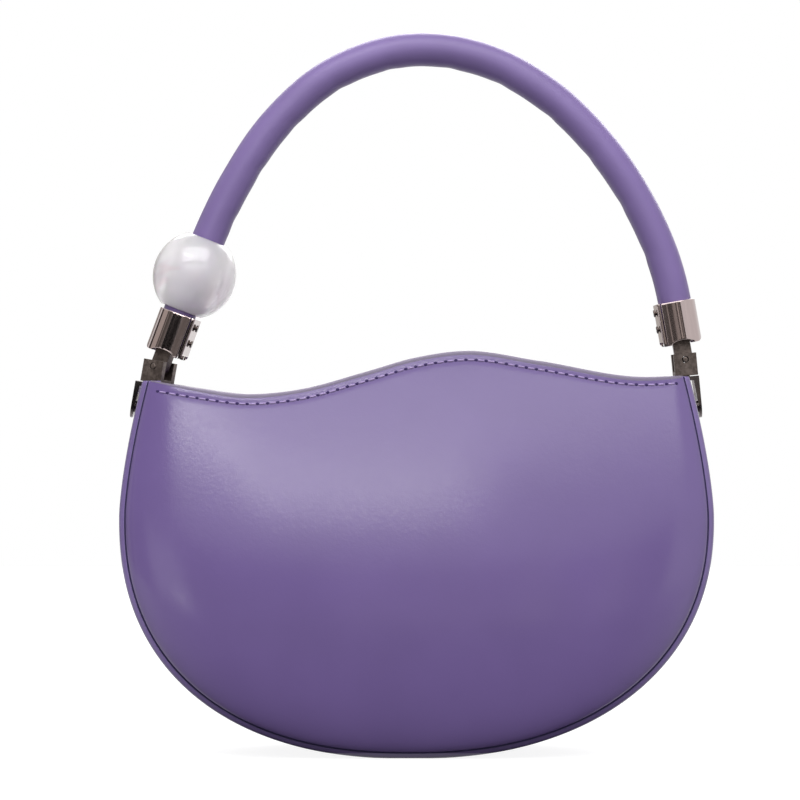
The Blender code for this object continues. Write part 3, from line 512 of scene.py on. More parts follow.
def panelDepth(x, z):  # the panel's face, pulled in along its stitching
    below = rimHeight(x) - z
    inner = 1 - smoothStep(*stitch["grooveEnd"], abs(x) / rimHalf)
    groove = 0
    if below < stitch["near"]:
        groove = stitch["groove"] * bump(below, stitchDrop(x), stitch["grooveWidth"])
    return halfDepth(x, z, panelInset) - groove * inner


panelMesh = {"seamColumns": 260, "rimColumns": 200, "rings": 52, "cluster": 2.1,
             "edge": 0.0004}
panelColumns = panelMesh["seamColumns"] + panelMesh["rimColumns"]


def panelPoint(side, u, v):  # rings round a middle, along the seam and then the rim
    turn = (u if side > 0 else 1 - u) * panelColumns
    if turn <= panelMesh["seamColumns"]:
        x, z = outline(turn / panelMesh["seamColumns"], panelInset)
    else:
        t = (turn - panelMesh["seamColumns"]) / panelMesh["rimColumns"]
        x = rimReach * (1 - 2 * t)
        if t >= 1 - tolerance["grid"]:  # the corner it started at, so the ring closes
            x, z = outline(0, panelInset)
        else:
            z = rimHeight(x)
    share = 1 - (1 - v) ** panelMesh["cluster"]
    x *= share
    z = bag["middleZ"] + share * (z - bag["middleZ"])
    return Vector((x, side * panelDepth(x, z), z))


for side, place in panelFaces:
    item = sheet(f"{place}_panel_leather", panelColumns, panelMesh["rings"],
                 lambda u, v: panelPoint(side, u, v), bag["leather"], panelMesh["edge"])
    fit(item, "bag", "purple_leather", purpleLeather, f"{place}_panel")
print("panels made")

# The cut edge of each panel, rounded and painted, over the rim. Its grey is partly the edge
# paint's own colour and partly a painted reflection of the sheen on the rounded edge.
rimEdge = {
    "columns": 180, "reach": 0.998, "proud": 0.00035, "behind": 0.00092, "up": 0.00030,
    "down": 0.00098, "smooth": 50,
    "heights": ((-1.0, 0.05), (-0.93, 0.3), (-0.8, 0.75), (-0.4, 0.85), (0.18, 1.15),
                (0.6, 0.95), (0.9, 0.75), (1.0, 0.5)),
    "section": ((-1.0, -1.9), (-0.1, -1.9), (0.35, -1.88), (0.62, -1.7), (0.72, -1.3),
                (0.68, -0.6), (0.45, 0.15), (0.0, 0.7), (-0.8, 1.0), (-1.9, 1.0),
                (-2.7, 0.75), (-3.25, 0.2), (-3.4, -0.7), (-3.4, -1.9), (-2.4, -1.9),
                (-1.0, -1.9)),
}
rimRows = len(rimEdge["section"]) - 1


def rimPoint(side, u, v):
    x = -side * rimReach * (2 * u - 1) * rimEdge["reach"]
    out, up = rimEdge["section"][round(v * rimRows)]
    z = rimHeight(x)
    deep = through(*zip(*rimEdge["heights"]), x / rimHalf)
    outStep = rimEdge["proud"] * min(deep, 1) if out >= 0 else rimEdge["behind"]
    upStep = rimEdge["up"] if up >= 0 else rimEdge["down"] * deep
    y = halfDepth(x, z, panelInset) + out * outStep
    return Vector((x, side * y, z + up * upStep))


for side, place in panelFaces:
    item = rolledGrid(f"rim_edge_{place}", rimEdge["columns"], rimRows,
                      lambda u, v: rimPoint(side, u, v), rimEdge["smooth"])
    fit(item, "bag", "purple_leather", edgePaintAndSheen)
print("rim edges made")


# Stitches: a short thread from hole to hole, half sunk, and a dark needle hole between, its
# dark colour a painted shade of the hole
def stitchPlaces(side):
    half = rimHalf - stitch["end"]
    step = stitch["step"]
    way = [-half]
    length = [0.0]
    while way[-1] < half:
        x = way[-1]
        rise = rimHeight(x + step) - rimHeight(x)
        length.append(length[-1] + math.hypot(step, rise))
        way.append(x + step)
    count = round(length[-1] / stitch["pitch"])
    spots = []
    for i in range(count + 1):
        x = through(length, way, length[-1] * i / count)
        z = rimHeight(x) - stitchDrop(x)
        spots.append(Vector((x, side * panelDepth(x, z), z)))
    return spots


def faceNormal(side, spot):
    step = stitch["step"]
    here = panelDepth(spot.x, spot.z)
    right = Vector((step, side * (panelDepth(spot.x + step, spot.z) - here), 0))
    up = Vector((0, side * (panelDepth(spot.x, spot.z + step) - here), step))
    normal = right.cross(up).normalized()
    return normal if normal.y * side > 0 else -normal


def smallBall(name, segments, radius):
    bpy.ops.mesh.primitive_uv_sphere_add(segments=segments, ring_count=stitch["rings"],
                                         radius=radius)
    item = named(name)
    item.data.shade_smooth()
    return item


def threadModel():
    item = smallBall("stitch", stitch["threadSides"], stitch["thread"])
    reach = (stitch["pitch"] / 2 - stitch["hole"] - stitch["thread"]) * stitch["threadShare"]
    for point in item.data.vertices:
        if abs(point.co.z) > tolerance["grid"]:
            point.co.z += math.copysign(reach, point.co.z)
    return item


def holeModel():
    item = smallBall("hole", stitch["holeSides"], stitch["hole"])
    item.data.transform(Matrix.Diagonal(stitch["holeShape"]))
    return item


for side, place in panelFaces:
    spots = stitchPlaces(side)
    threads = []
    for here, there in zip(spots, spots[1:]):
        middle = here.lerp(there, 0.5)
        middle.y = side * (panelDepth(middle.x, middle.z) + stitch["raise"])
        threads.append(axes(middle, there - here, faceNormal(side, middle)))
    holes = []
    for spot in spots:
        rise = rimHeight(spot.x + stitch["slopeStep"]) - rimHeight(spot.x)
        along = (1, 0, rise / stitch["slopeStep"])
        holes.append(axes(spot, along, faceNormal(side, spot)))
    item = copies(f"rim_stitches_{place}", threadModel(), threads)
    fit(item, "bag", "purple_leather", stitchThread)
    item = copies(f"needle_holes_{place}", holeModel(), holes)
    fit(item, "bag", "purple_leather", needleHoleShade)
print("stitching made:", len(spots), "holes a side")

# The dark line where each panel is sewn to the gusset: dark edge paint and a painted shadow of
# the seam's groove
seamLine = {"columns": 240, "rows": 10, "radius": 0.00042, "flat": 0.6, "proud": 0.00005,
            "top": 0.0005, "smooth": 60}


def seamPoint(side, u, v):
    share = seamLine["top"] + (1 - 2 * seamLine["top"]) * (u if side < 0 else 1 - u)
    middle = bag["seamInset"] + bag["gap"] / 2
    turn = math.tau * v
    x, z = outline(share, middle - seamLine["radius"] * math.sin(turn))
    out = seamLine["proud"] + seamLine["radius"] * seamLine["flat"] * math.cos(turn)
    return Vector((x, side * (seamHalf(z) + out), z))


for side, place in panelFaces:
    item = rolledGrid(f"seam_shadow_line_{place}", seamLine["columns"], seamLine["rows"],
                      lambda u, v: seamPoint(side, u, v), seamLine["smooth"])
    fit(item, "bag", "purple_leather", seamShadowAndPaint)

gussetValues = {
    "lip": 0.0070, "lipSteps": (0.0050, 0.0035), "shoulderSteps": 8, "crownSteps": 12,
    "crown": 0.0007, "crownPower": 2.2, "scoopDepth": 0.0050, "scoopHalf": 0.0132,
    "scoopFlat": 0.0086, "columns": 240, "edge": 0.0005,
}


def gussetSection():  # side, inset, share of the half width, way in
    shoulder = bag["seamInset"]
    half = [(inset, 1, 0) for inset in (gussetValues["lip"], *gussetValues["lipSteps"])]
    steps = gussetValues["shoulderSteps"]
    for i in range(steps + 1):
        angle = math.pi / 2 * i / steps
        half.append((shoulder * (1 - math.sin(angle)), 1, shoulder * (1 - math.cos(angle))))
    steps = gussetValues["crownSteps"]
    for i in range(1, steps + 1):
        share = 1 - i / steps
        rise = 1 - share ** gussetValues["crownPower"]
        half.append((-gussetValues["crown"] * rise, share, shoulder * share))
    return [(-1, *values) for values in half] + [(1, *values) for values in reversed(half[:-1])]


section = gussetSection()


def gussetPoint(u, v):
    side, inset, share, inward = section[round((1 - v) * (len(section) - 1))]
    place = share * bag["seamTop"] - inward
    dip = gussetValues["scoopDepth"] * (1 - smoothStep(
        gussetValues["scoopFlat"], gussetValues["scoopHalf"], place))
    x, z = outline(u, inset, dip)
    return Vector((x, side * (share * seamHalf(z) - inward), z))


item = sheet("gusset_leather", gussetValues["columns"], len(section) - 1, gussetPoint,
             bag["leather"], gussetValues["edge"])
fit(item, "bag", "purple_leather", gussetLeather, "gusset")
print("gusset made")

inside = {
    "facing": 0.0010, "facingZ": 0.1262, "facingHalf": 0.0940, "turn": 0.0014,
    "ledge": 0.0062, "fall": 0.72, "fold": 0.0006, "foldWidth": 0.0012, "facingMesh": (90, 25),
    "facingEdge": 0.0003, "tape": 0.0012, "tapeHalf": 0.0840, "tapeOuter": 0.0115,
    "root": 0.0027, "tapeMesh": (60, 8), "tapeEdge": 0.0002, "teethHalf": 0.0790,
    "pitch": 0.0034, "tooth": (0.0018, 0.0020, 0.0013), "toothEdge": 0.0003,
    "toothPlace": 0.0019, "tabEdge": 0.0005, "sliderEdge": 0.0002,
}


def facingPoint(side, u, v):  # hangs down from the rim, then turns in to the ledge
    x = inside["facingHalf"] * (2 * u - 1) * side
    low = inside["facingZ"]
    fall = inside["fall"]
    if v <= fall:
        top = rimHeight(x) - inside["turn"]
        z = low + (top - low) * (1 - v / fall)
        fold = bump(z, low, inside["foldWidth"]) * inside["fold"]
        return Vector((x, side * (panelInside(x, z) - bag["gap"] - fold), z))
    share = (v - fall) / (1 - fall)
    y = panelInside(x, low) - bag["gap"]
    return Vector((x, side * (y + (inside["ledge"] - y) * share), low))


for side, place in panelFaces:
    item = sheet(f"facing_leather_{place}", *inside["facingMesh"],
                 lambda u, v: facingPoint(side, u, v), inside["facing"], inside["facingEdge"])
    fit(item, "bag", "inner_leather", innerLeather, f"facing_{place}")


def tapePoint(side, u, v):
    x = inside["tapeHalf"] * (2 * u - 1)
    y = inside["root"] + (inside["tapeOuter"] - inside["root"]) * (v if side > 0 else 1 - v)
    return Vector((x, side * y, inside["facingZ"] - bag["gap"]))


def toothModel():
    bpy.ops.mesh.primitive_cube_add(size=1)
    item = named("tooth")
    item.data.transform(Matrix.Diagonal((*inside["tooth"], 1)))
    useModifier(item, "BEVEL", width=inside["toothEdge"], segments=2, limit_method="NONE")
    item.data.shade_smooth()
    return item


for side, place in panelFaces:
    item = sheet(f"zip_tape_cloth_{place}", *inside["tapeMesh"],
                 lambda u, v: tapePoint(side, u, v), inside["tape"], inside["tapeEdge"])
    fit(item, "bag", "zip_tape", tapeCloth, f"zip_tape_{place}")
    teeth = int((2 * inside["teethHalf"] - inside["tooth"][0]) / inside["pitch"])
    first = -inside["pitch"] * (teeth - 1) / 2
    level = inside["facingZ"] - bag["gap"] - inside["tape"] / 2
    spots = [Matrix.Translation((first + i * inside["pitch"], side * inside["toothPlace"],
                                 level)) for i in range(teeth)]
    item = copies(f"zip_teeth_{place}", toothModel(), spots)
    fit(item, "bag", "polished_nickel", nickel)

for place in ("left", "right"):
    item = softCopy(f"zip_tab_leather_{place}", f"zip_tab_{place}", inside["tabEdge"])
    fit(item, "bag", "purple_leather", purpleLeather, f"zip_tab_{place}")

# Its inset and bottom leave room for the gusset's leather, the board and the gaps
lining = {
    "thick": 0.0010, "top": 0.1259, "inset": 0.0063, "bottom": 0.0066, "lipGap": 0.0010,
    "power": 3.0, "flat": 0.25, "eased": 0.1, "risePower": 1.6, "looseTop": 0.0280,
    "slack": 0.0006, "slackScale": (30, 22, 3.0), "slackFull": 0.5, "mesh": (96, 44),
    "edge": 0.0003,
}


def liningHalves(z):
    drop = max(bag["widestZ"] - z, 0) / (bag["widestZ"] - lining["inset"])
    reach = max(1 - drop ** bag["power"], 0) ** (1 / bag["power"])
    insideLip = seamHalf(z) - bag["leather"] - lining["lipGap"]
    behind = panelInside(0, z) - lining["lipGap"] - inside["facing"]
    loose = smoothStep(gussetValues["lip"], lining["looseTop"], z)
    return sideHalf(z, lining["inset"]) * reach, insideLip + (behind - insideLip) * loose


def liningPoint(u, v):  # out over the bottom first, then up the walls
    turn = math.tau * u
    flat = lining["flat"]
    share = 1.0
    z = lining["bottom"]
    if v < flat:
        share = v / flat * (1 - lining["eased"]) + lining["eased"] * smoothStep(0, flat, v)
    else:
        z += (lining["top"] - z) * ((v - flat) / (1 - flat)) ** lining["risePower"]
    halfX, halfY = liningHalves(z)
    c, s = math.cos(turn), math.sin(turn)
    power = 2 / lining["power"]
    x = math.copysign(abs(c) ** power, c) * halfX * share
    y = math.copysign(abs(s) ** power, s) * halfY * share
    drop = max(bag["widestZ"] - z, 0) / bag["widestZ"]
    scaleX, scaleZ, seed = lining["slackScale"]
    slack = noise.noise(Vector((x * scaleX, z * scaleZ, seed))) * lining["slack"]
    slack *= smoothStep(flat, lining["slackFull"], v)
    return Vector((x - bag["skew"] * drop * drop, y - math.copysign(abs(slack), y), z))


item = sheet("lining_cloth", *lining["mesh"], liningPoint, lining["thick"], lining["edge"])
fit(item, "bag", "lining_fabric", liningCloth, "lining")

pocket = {"half": 0.0450, "low": 0.0420, "high": 0.0960, "thick": 0.0010, "clear": 0.0006,
          "sag": 0.0009, "sagPower": 4, "mouth": 0.0003, "mouthWidth": 0.06,
          "mesh": (50, 30), "edge": 0.0003}


def pocketPoint(u, v):
    x = pocket["half"] * (2 * u - 1)
    z = pocket["low"] + (pocket["high"] - pocket["low"]) * v
    halfX, halfY = liningHalves(z)
    halfX -= lining["thick"]
    slack = (1 - (x / halfX) ** pocket["sagPower"]) * v * pocket["sag"]
    slack += bump(v, 1, pocket["mouthWidth"]) * pocket["mouth"]
    reach = (1 - (abs(x) / halfX) ** lining["power"]) ** (1 / lining["power"])
    y = (halfY - lining["thick"]) * reach - pocket["clear"] - slack - pocket["thick"]
    return Vector((x, y, z))


item = sheet("slip_pocket_cloth", *pocket["mesh"], pocketPoint, pocket["thick"],
             pocket["edge"])
fit(item, "bag", "lining_fabric", liningCloth, "slip_pocket")

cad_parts["base_board"].data.materials.clear()
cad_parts["base_board"].data.materials.append(stiffBoard)
print("inside made")

item = softCopy("slider_metal", "zip_slider", inside["sliderEdge"])
fit(item, "zip_runner", "polished_nickel", nickel, "zip_slider")
item = softCopy("pull_metal", "zip_pull", inside["sliderEdge"])
fit(item, "puller", "polished_nickel", nickel, "zip_pull")

handle = {
    "radius": 0.0063, "wall": 0.0012, "columns": 72, "rows": 420, "edge": 0.0002,
    "step": 0.0015,
    "path": ((-0.09390, 0.15491), (-0.09277, 0.15796), (-0.08451, 0.18023),
             (-0.06931, 0.21406), (-0.05383, 0.23722), (-0.03211, 0.25622),
             (-0.00393, 0.26562), (0.02539, 0.26207), (0.05077, 0.24817), (0.07039, 0.22870),
             (0.08539, 0.20583), (0.09567, 0.18067), (0.09952, 0.16211), (0.10008, 0.15891)),
    "creases": (0.052, 0.074, 0.097, 0.121, 0.143, 0.168, 0.190, 0.214, 0.236, 0.259, 0.281),
    "creaseDepth": 0.00024, "creaseWidth": 0.0030, "innerPower": 1.5, "swell": 0.25,
    "swellPlace": 0.0045, "swellWidth": 0.003, "seamColumn": 26,
    "seamDepth": 0.00028, "seamWidth": 0.11, "uneven": 0.0001, "unevenScale": 60,
}
handleKnots = [0.0]
for here, there in zip(handle["path"], handle["path"][1:]):
    handleKnots.append(handleKnots[-1] + math.dist(here, there))
handleLength = handleKnots[-1]
handleX, handleZ = zip(*handle["path"])
seamTurn = math.tau * handle["seamColumn"] / handle["columns"]


def handlePlace(way):
    way = clamp(way, 0, handleLength)
    return Vector((through(handleKnots, handleX, way), 0, through(handleKnots, handleZ, way)))


def tubePoint(u, v, radius, shape):
    way = v * handleLength
    along = (handlePlace(way + handle["step"]) - handlePlace(way - handle["step"])).normalized()
    back = Vector((0, 1, 0))
    turn = -math.tau * u
    out = along.cross(back) * math.cos(turn) + back * math.sin(turn)
    return handlePlace(way) + out * (radius + shape(turn, way))


def skinShape(turn, way):  # creases on the inner side, and a seam at the back
    inner = max(-math.cos(turn), 0) ** handle["innerPower"] * handle["creaseDepth"]
    depth = 0.0
    for place in handle["creases"]:
        depth -= bump(way, place, handle["creaseWidth"]) * inner
        beside = bump(way, place + handle["swellPlace"], handle["swellWidth"])
        depth += handle["swell"] * beside * inner
    back = turn % math.tau
    depth -= handle["seamDepth"] * bump(back, seamTurn, handle["seamWidth"])
    spot = Vector((way * handle["unevenScale"], math.cos(turn), math.sin(turn)))
    return depth + handle["uneven"] * noise.noise(spot)


item = sheet("handle_skin", handle["columns"], handle["rows"],
             lambda u, v: tubePoint(u, v, handle["radius"], skinShape), handle["wall"],
             handle["edge"])
fit(item, "handle", "purple_leather", handleLeather, "handle_cover")

rope = {"columns": 24, "rows": 300, "clear": 0.00055, "depth": 0.0004, "strands": 1.5,
        "twist": 0.0035, "smooth": 60}
ropeRadius = handle["radius"] - handle["wall"] - rope["clear"]


def strands(turn, way):
    return rope["depth"] * (abs(math.cos(rope["strands"] * (turn - way / rope["twist"]))) - 1)


item = rolledGrid("handle_rope", rope["columns"], rope["rows"],
                  lambda u, v: tubePoint(u, v, ropeRadius, strands), rope["smooth"])
fit(item, "handle", "rope_core", ropeYarn, "handle_core")
print("handle made")

bead = {
    "place": (-0.084266, 0, 0.180196), "axis": (0.36371, 0, 0.93151), "radius": 0.0157,
    "halfLength": 0.0166, "bore": 0.0070, "mouth": 0.0009, "turns": 96, "steps": 40,
    "mouthSteps": 5, "smooth": 50,
}


def beadProfile():  # up the outside, in over the mouth and down the bore
    mouth = bead["mouth"]
    rim = bead["bore"] + mouth
    start = math.asin(rim / bead["radius"])
    end = bead["halfLength"] * math.cos(start)
    outer = []
    for i in range(bead["steps"] + 1):
        angle = start + (math.pi - 2 * start) * i / bead["steps"]
        outer.append((bead["radius"] * math.sin(angle), -bead["halfLength"] * math.cos(angle)))
    lip = []
    for i in range(1, bead["mouthSteps"] + 1):
        angle = math.pi / 2 * i / bead["mouthSteps"]
        lip.append((rim - mouth * math.sin(angle), end - mouth * (1 - math.cos(angle))))
    lowLip = [(radius, -along) for radius, along in reversed(lip)]
    return outer + lip + [(bead["bore"], 0)] + lowLip


profile = beadProfile()
beadAxes = axes(bead["place"], bead["axis"], (1, 0, 0))


def beadPoint(u, v):
    radius, along = profile[round(v * len(profile)) % len(profile)]
    turn = math.tau * u
    return beadAxes @ Vector((radius * math.cos(turn), radius * math.sin(turn), along))


item = bentGrid("pearl_bead", bead["turns"], len(profile), beadPoint)
inEditMode(item, weld, faceOut)
smooth(item, bead["smooth"])
fit(item, "bead_ring", "pearl_acrylic", pearlAcrylic, "bead")
print("bead made")

ends = {
    "left": {"sign": -1, "place": (-0.09277, 0, 0.15796), "lean": 20.3, "twist": 5.0,
             "pinGrow": 1.14, "pinReach": 0.0055 / 0.0058},
    "right": {"sign": 1, "place": (0.09952, 0, 0.16211), "lean": 10.0, "twist": 0.0},
}
ferrule = {
    "height": 0.0163, "radius": 0.0076, "sheet": 0.0010, "reach": 0.0077, "joint": 0.0004,
    "corner": 0.0018, "bow": 0.00065, "bowPower": 1.5, "hemHalf": 0.0045, "hemRise": 0.0015,
    "uneven": 0.00004, "ripples": ((1, 0.00085, 0), (0.6, 0.0021, 1)), "rippleEnd": 0.002,
    "mesh": (96, 24), "edge": (0.00025, 3),
    "plateFlange": 0.0013, "plateCorner": 0.0006, "plateMesh": (90, 16),
}


def ferruleAxes(end):
    lean = math.radians(end["lean"])
    up = (-end["sign"] * math.sin(lean), 0, math.cos(lean))
    turn = Matrix.Rotation(end["sign"] * math.radians(end["twist"]), 4, "Z")
    return axes(end["place"], up, (end["sign"], 0, 0)) @ turn


def cornerLift(past):  # of the sheet's lower edge, at its rounded corners
    corner = ferrule["corner"]
    return corner - math.sqrt(max(corner ** 2 - max(past, 0) ** 2, 0))


def ferrulePoint(frameHere, u, v):  # a leg, the round outer side, and the other leg
    radius = ferrule["radius"]
    leg = ferrule["reach"] - ferrule["plateFlange"] - ferrule["joint"]
    arc = math.pi * radius
    length = 2 * leg + arc
    way = u * length
    if way < leg:
        across, back = way - leg, -radius
    elif way > leg + arc:
        across, back = leg + arc - way, radius
    else:
        angle = (way - leg) / radius - math.pi / 2
        across, back = radius * math.cos(angle), radius * math.sin(angle)
    end = ferrule["rippleEnd"]
    uneven = ferrule["uneven"] * smoothStep(0, end, way) * smoothStep(0, end, length - way)
    uneven *= sum(share * math.sin(way / width + start)
                  for share, width, start in ferrule["ripples"])
    if across <= 0:
        bow = ferrule["bow"] * (-across / leg) ** ferrule["bowPower"]
        back += math.copysign(uneven - bow, back)
    else:
        across, back = across * (1 + uneven / radius), back * (1 + uneven / radius)
    share = min(abs(across) / ferrule["hemHalf"], 1)
    lift = ferrule["hemRise"] * math.sqrt(1 - share ** 2)
    lift += cornerLift(across - radius + ferrule["corner"])
    low = -ferrule["height"] / 2 + lift
    return frameHere @ Vector((across, back, low + (ferrule["height"] / 2 - low) * v))


def platePoint(frameHere, u, v):  # the channel that closes the sheet, from front to back
    corner, radius = ferrule["plateCorner"], ferrule["radius"]
    face = -ferrule["reach"]
    flange = ferrule["plateFlange"] - corner
    quarter = math.pi / 2 * corner
    length = 2 * (flange + quarter + radius - corner)
    way = u * length
    mirrored = way > length / 2
    if mirrored:
        way = length - way
    if way < flange:
        across, back = face + corner + flange - way, -radius
    elif way < flange + quarter:
        angle = (way - flange) / corner
        across = face + corner - corner * math.sin(angle)
        back = -radius + corner - corner * math.cos(angle)
    else:
        across, back = face, -radius + corner + way - flange - quarter
    back = -back if mirrored else back
    low = -ferrule["height"] / 2 + cornerLift(face + ferrule["corner"] - across)
    return frameHere @ Vector((across, back, low + (ferrule["height"] / 2 - low) * (1 - v)))


screw = {
    "drops": (0.0031, 0.0094), "radius": 0.0014, "head": 0.00065, "sides": 32,
    "edge": 0.0002, "edgeSteps": 3, "edgeAngle": 30, "slot": (0.0004, 0.01),
    "stem": 0.0008, "stemSides": 20, "stemLength": 0.0030, "stemPlace": -0.0012, "smooth": 35,
}


def screwPiece(name, place):
    bpy.ops.mesh.primitive_cylinder_add(vertices=screw["sides"], radius=screw["radius"],
                                        depth=screw["head"])
    item = named(name)
    roundEdges(item, screw["edge"], screw["edgeSteps"], screw["edgeAngle"])
    bpy.ops.mesh.primitive_cube_add(size=1)
    slot = named("slot")
    slot.data.transform(Matrix.Translation((0, 0, screw["head"] / 2))
                        @ Matrix.Diagonal((*screw["slot"], screw["head"], 1)))
    useModifier(item, "BOOLEAN", object=slot, operation="DIFFERENCE", solver="EXACT")
    bpy.data.objects.remove(slot, do_unlink=True)
    bpy.ops.mesh.primitive_cylinder_add(vertices=screw["stemSides"], radius=screw["stem"],
                                        depth=screw["stemLength"])
    stem = named("stem")
    stem.data.transform(Matrix.Translation((0, 0, screw["stemPlace"])))
    choose(item, stem)
    bpy.ops.object.join()
    item.data.transform(place)
    smooth(item, screw["smooth"])
    return item


# A pin that is riveted flush fills its hole, and ends with the fork's faces
def rivetFlush(item, grow, reach):
    corners = [point.co.copy() for point in item.data.vertices]
    centre = sum(corners, Vector()) / len(corners)
    back = sum(((spot - centre) * math.copysign(1, spot.y) for spot in corners), Vector())
    turn = axes(centre, back, (0, 0, 1))
    item.data.transform(turn @ Matrix.Diagonal((grow, grow, reach, 1)) @ turn.inverted())


fittings = (
    ("side_bracket", 0.0004, blackNickel, "satin_gunmetal"),
    ("bracket_screw", 0.0003, gunmetal, "satin_gunmetal"),
    ("clevis", 0.0003, gunmetal, "satin_gunmetal"),
    ("clevis_pin", 0.0003, gunmetal, "polished_nickel"),
    ("tongue", 0.0003, gunmetal, "satin_gunmetal"),
)
for place, end in ends.items():
    here = ferruleAxes(end)
    item = sheet(f"ferrule_metal_{place}", *ferrule["mesh"],
                 lambda u, v: ferrulePoint(here, u, v), ferrule["sheet"], *ferrule["edge"])
    fit(item, "handle", "polished_nickel", sleeveNickel[place], f"ferrule_{place}")
    item = sheet(f"ferrule_plate_metal_{place}", *ferrule["plateMesh"],
                 lambda u, v: platePoint(here, u, v), ferrule["sheet"], *ferrule["edge"])
    fit(item, "handle", "polished_nickel", sleeveNickel[place], f"ferrule_plate_{place}")
    for number, drop in enumerate(screw["drops"], 1):
        face = -ferrule["reach"] - bag["gap"] - screw["head"] / 2
        level = ferrule["height"] / 2 - drop
        spot = here @ Matrix.Translation((face, 0, level)) @ Matrix.Rotation(
            -math.pi / 2, 4, "Y")
        item = screwPiece(f"plate_screw_{place}_{number}", spot)
        fit(item, "handle", "satin_gunmetal", gunmetal, f"ferrule_screw_{place}_{number}")
    for node, width, finish, slotName in fittings:
        item = softCopy(f"{node}_metal_{place}", f"{node}_{place}", width)
        if node == "clevis_pin" and "pinGrow" in end:
            rivetFlush(item, end["pinGrow"], end["pinReach"])
        fit(item, "handle", slotName, finish, f"{node}_{place}")
print("metal made")

view = {"place": (-0.0062, -1.1, 0.13283), "lens": 130.3, "sensor": 36}
cameraData = bpy.data.cameras.new("camera")
cameraData.lens = view["lens"]
cameraData.sensor_width = view["sensor"]
camera = newObject("camera", cameraData)
camera.location = view["place"]
camera.rotation_euler = (math.pi / 2, 0, 0)
bpy.context.scene.camera = camera

lightsAim = Vector((0, 0, 0.12))
lights = {  # place, size, power, and roll in degrees
    "key": ((0.05, -1.14, 1.88), (2.6, 1.5), 43, 0),
    "low": ((0.15, -1.86, 0.895), (2.40, 0.26), 5.1, 0),
    "strip": ((-0.155, -1.83, 0.693), (0.54, 0.045), 1.0, 3),
    "left": ((-0.625, -1.74, 0.752), (0.46, 0.045), 0.85, -6),
    "fill": ((0.0, -1.9, 0.02), (2.2, 0.2), 3.3, 0),
    "spark": ((-0.45, -1.20, 1.66), (0.56, 0.19), 2.2, 0),
    "back": ((0.3, 1.75, 1.35), (2.4, 1.4), 38, 0),
}
for name, (place, size, power, roll) in lights.items():
    data = bpy.data.lights.new(name, "AREA")
    data.shape = "RECTANGLE"
    data.size, data.size_y = size
    data.energy = power
    lamp = newObject(name, data)
    lamp.location = place
    aim = (lightsAim - Vector(place)).to_track_quat("-Z", "Y").to_matrix()
    lamp.rotation_euler = (aim @ Matrix.Rotation(math.radians(roll), 3, "Z")).to_euler()


# What the camera, reflections and the bead's clear body see, and other light does not
def seenDirectly(tree, dark, bright):
    path = addNode(tree, "LightPath", {})
    total = path.outputs["Is Camera Ray"]
    for kind in ("Is Glossy Ray", "Is Transmission Ray"):
        total = calculate(tree, "MAXIMUM", total, path.outputs[kind])
    return spread(tree, total, dark, bright)


studio = {"worldTones": (0.22, 1.0), "floorSize": 2.4, "floorZ": -0.0002,
          "floorColour": (0.20, 0.20, 0.20), "floorRoughness": 0.9, "floorTones": (0, 0.89)}
world = bpy.data.worlds.new("studio")
world.use_nodes = True
bpy.context.scene.world = world
tree = world.node_tree
setInputs(tree.nodes["Background"], {"Color": (1, 1, 1),
                                     "Strength": seenDirectly(tree, *studio["worldTones"])})

bpy.ops.mesh.primitive_plane_add(size=studio["floorSize"], location=(0, 0, studio["floorZ"]))
floor = named("floor")
floorMaterial, tree, shader = newMaterial("paleFloor", studio["floorColour"],
                                          studio["floorRoughness"])
setInputs(shader, {"Emission Color": (1, 1, 1),
                   "Emission Strength": seenDirectly(tree, *studio["floorTones"])})
floor.data.materials.append(floorMaterial)

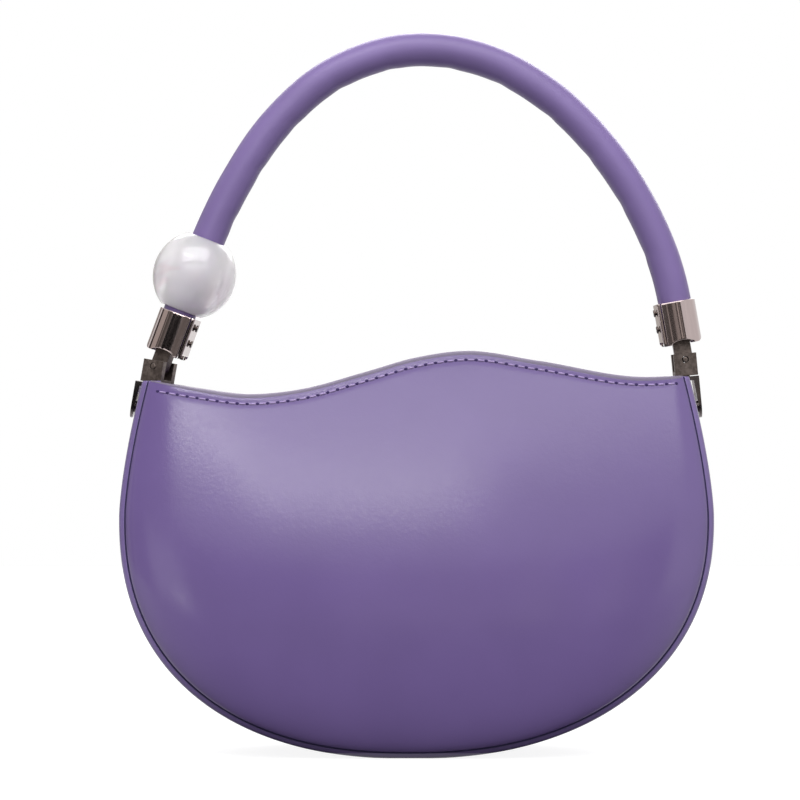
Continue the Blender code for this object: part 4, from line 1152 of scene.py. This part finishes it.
# Upright cards in a ring round the bag, which only reflections see: bands on the polished
# metal. Each row gives its two edges in degrees to the right of the camera, and its tone.
# Those within frontHalf degrees of the camera are lower.
cards = {
    "distance": 1.7, "low": -0.45, "frontHigh": 0.42, "sideHigh": 0.95, "frontHalf": 40,
    "bands": ((-180, -140, 0.50), (-140, -132, 0.08), (-109, -94, 0.06), (-94, -69, 0.65),
              (-69, -60, 0.15), (-60, -55, 0.40), (-55, -40, 0.14), (-27, -5, 0.008),
              (-5, -1, 0.33), (-1, 1, 0.10), (1, 5, 0.38), (5, 8, 0.12), (8, 12, 0.60),
              (12, 18, 0.07), (18, 22, 0.45), (22, 33, 0.10)),
    "upper": (-40, -27, 0.20), "upperLow": 0.36, "tint": (1, 0.92, 0.86), "mesh": (6, 1),
    "lowPlace": (0, -0.86, 0.002), "lowSize": (2.4, 1.68, 1, 1), "lowTones": (0.03, 0.92),
    "lowFade": (0.45, 1.0), "lowNear": 0.12,
}


def glowing(name, colour):
    material, tree, shader = newMaterial(name, (0, 0, 0), 1.0)
    setInputs(shader, {"Specular IOR Level": 0, "Emission Color": colour,
                       "Emission Strength": 1.0})
    return material, tree, shader


def cardPoint(band, u, v):
    angle = math.radians(band[0] + (band[1] - band[0]) * u)
    upper = band == cards["upper"]
    front = abs(band[0] + band[1]) / 2 < cards["frontHalf"] and not upper
    low = cards["upperLow"] if upper else cards["low"]
    high = cards["frontHigh"] if front else cards["sideHigh"]
    return Vector((cards["distance"] * math.sin(angle), -cards["distance"] * math.cos(angle),
                   low + (high - low) * v))


def hideFromAllButGloss(item, material):
    item.data.materials.append(material)
    item.visible_camera = item.visible_diffuse = item.visible_shadow = False
    item.visible_transmission = False


for number, band in enumerate(cards["bands"] + (cards["upper"],), 1):
    item = bentGrid(f"card_{number}", *cards["mesh"], lambda u, v: cardPoint(band, u, v))
    name = f"card{round(band[2] * 1000)}"
    hideFromAllButGloss(item, glowing(name, shaded(cards["tint"], band[2]))[0])


# The card on the floor: dark before the bag, fading to the floor's white at its sides
def lowCardMaterial():
    material, tree, shader = glowing("cardLow", (1, 1, 1))
    parts = addNode(tree, "SeparateXYZ", {0: objectPlace(tree)})
    aside = calculate(tree, "ABSOLUTE", parts.outputs["X"])
    ahead = calculate(tree, "ABSOLUTE", parts.outputs["Y"])
    ahead = calculate(tree, "ADD", ahead, cards["lowNear"])
    share = calculate(tree, "DIVIDE", aside, ahead)
    tone = spread(tree, share, *cards["lowTones"], *cards["lowFade"])
    setInputs(shader, {"Emission Strength": tone})
    return material


choose()
bpy.ops.mesh.primitive_plane_add(size=1)
item = named("card_low")
item.data.transform(Matrix.Translation(cards["lowPlace"]) @ Matrix.Diagonal(cards["lowSize"]))
hideFromAllButGloss(item, lowCardMaterial())

bpy.context.scene.view_settings.view_transform = "Standard"
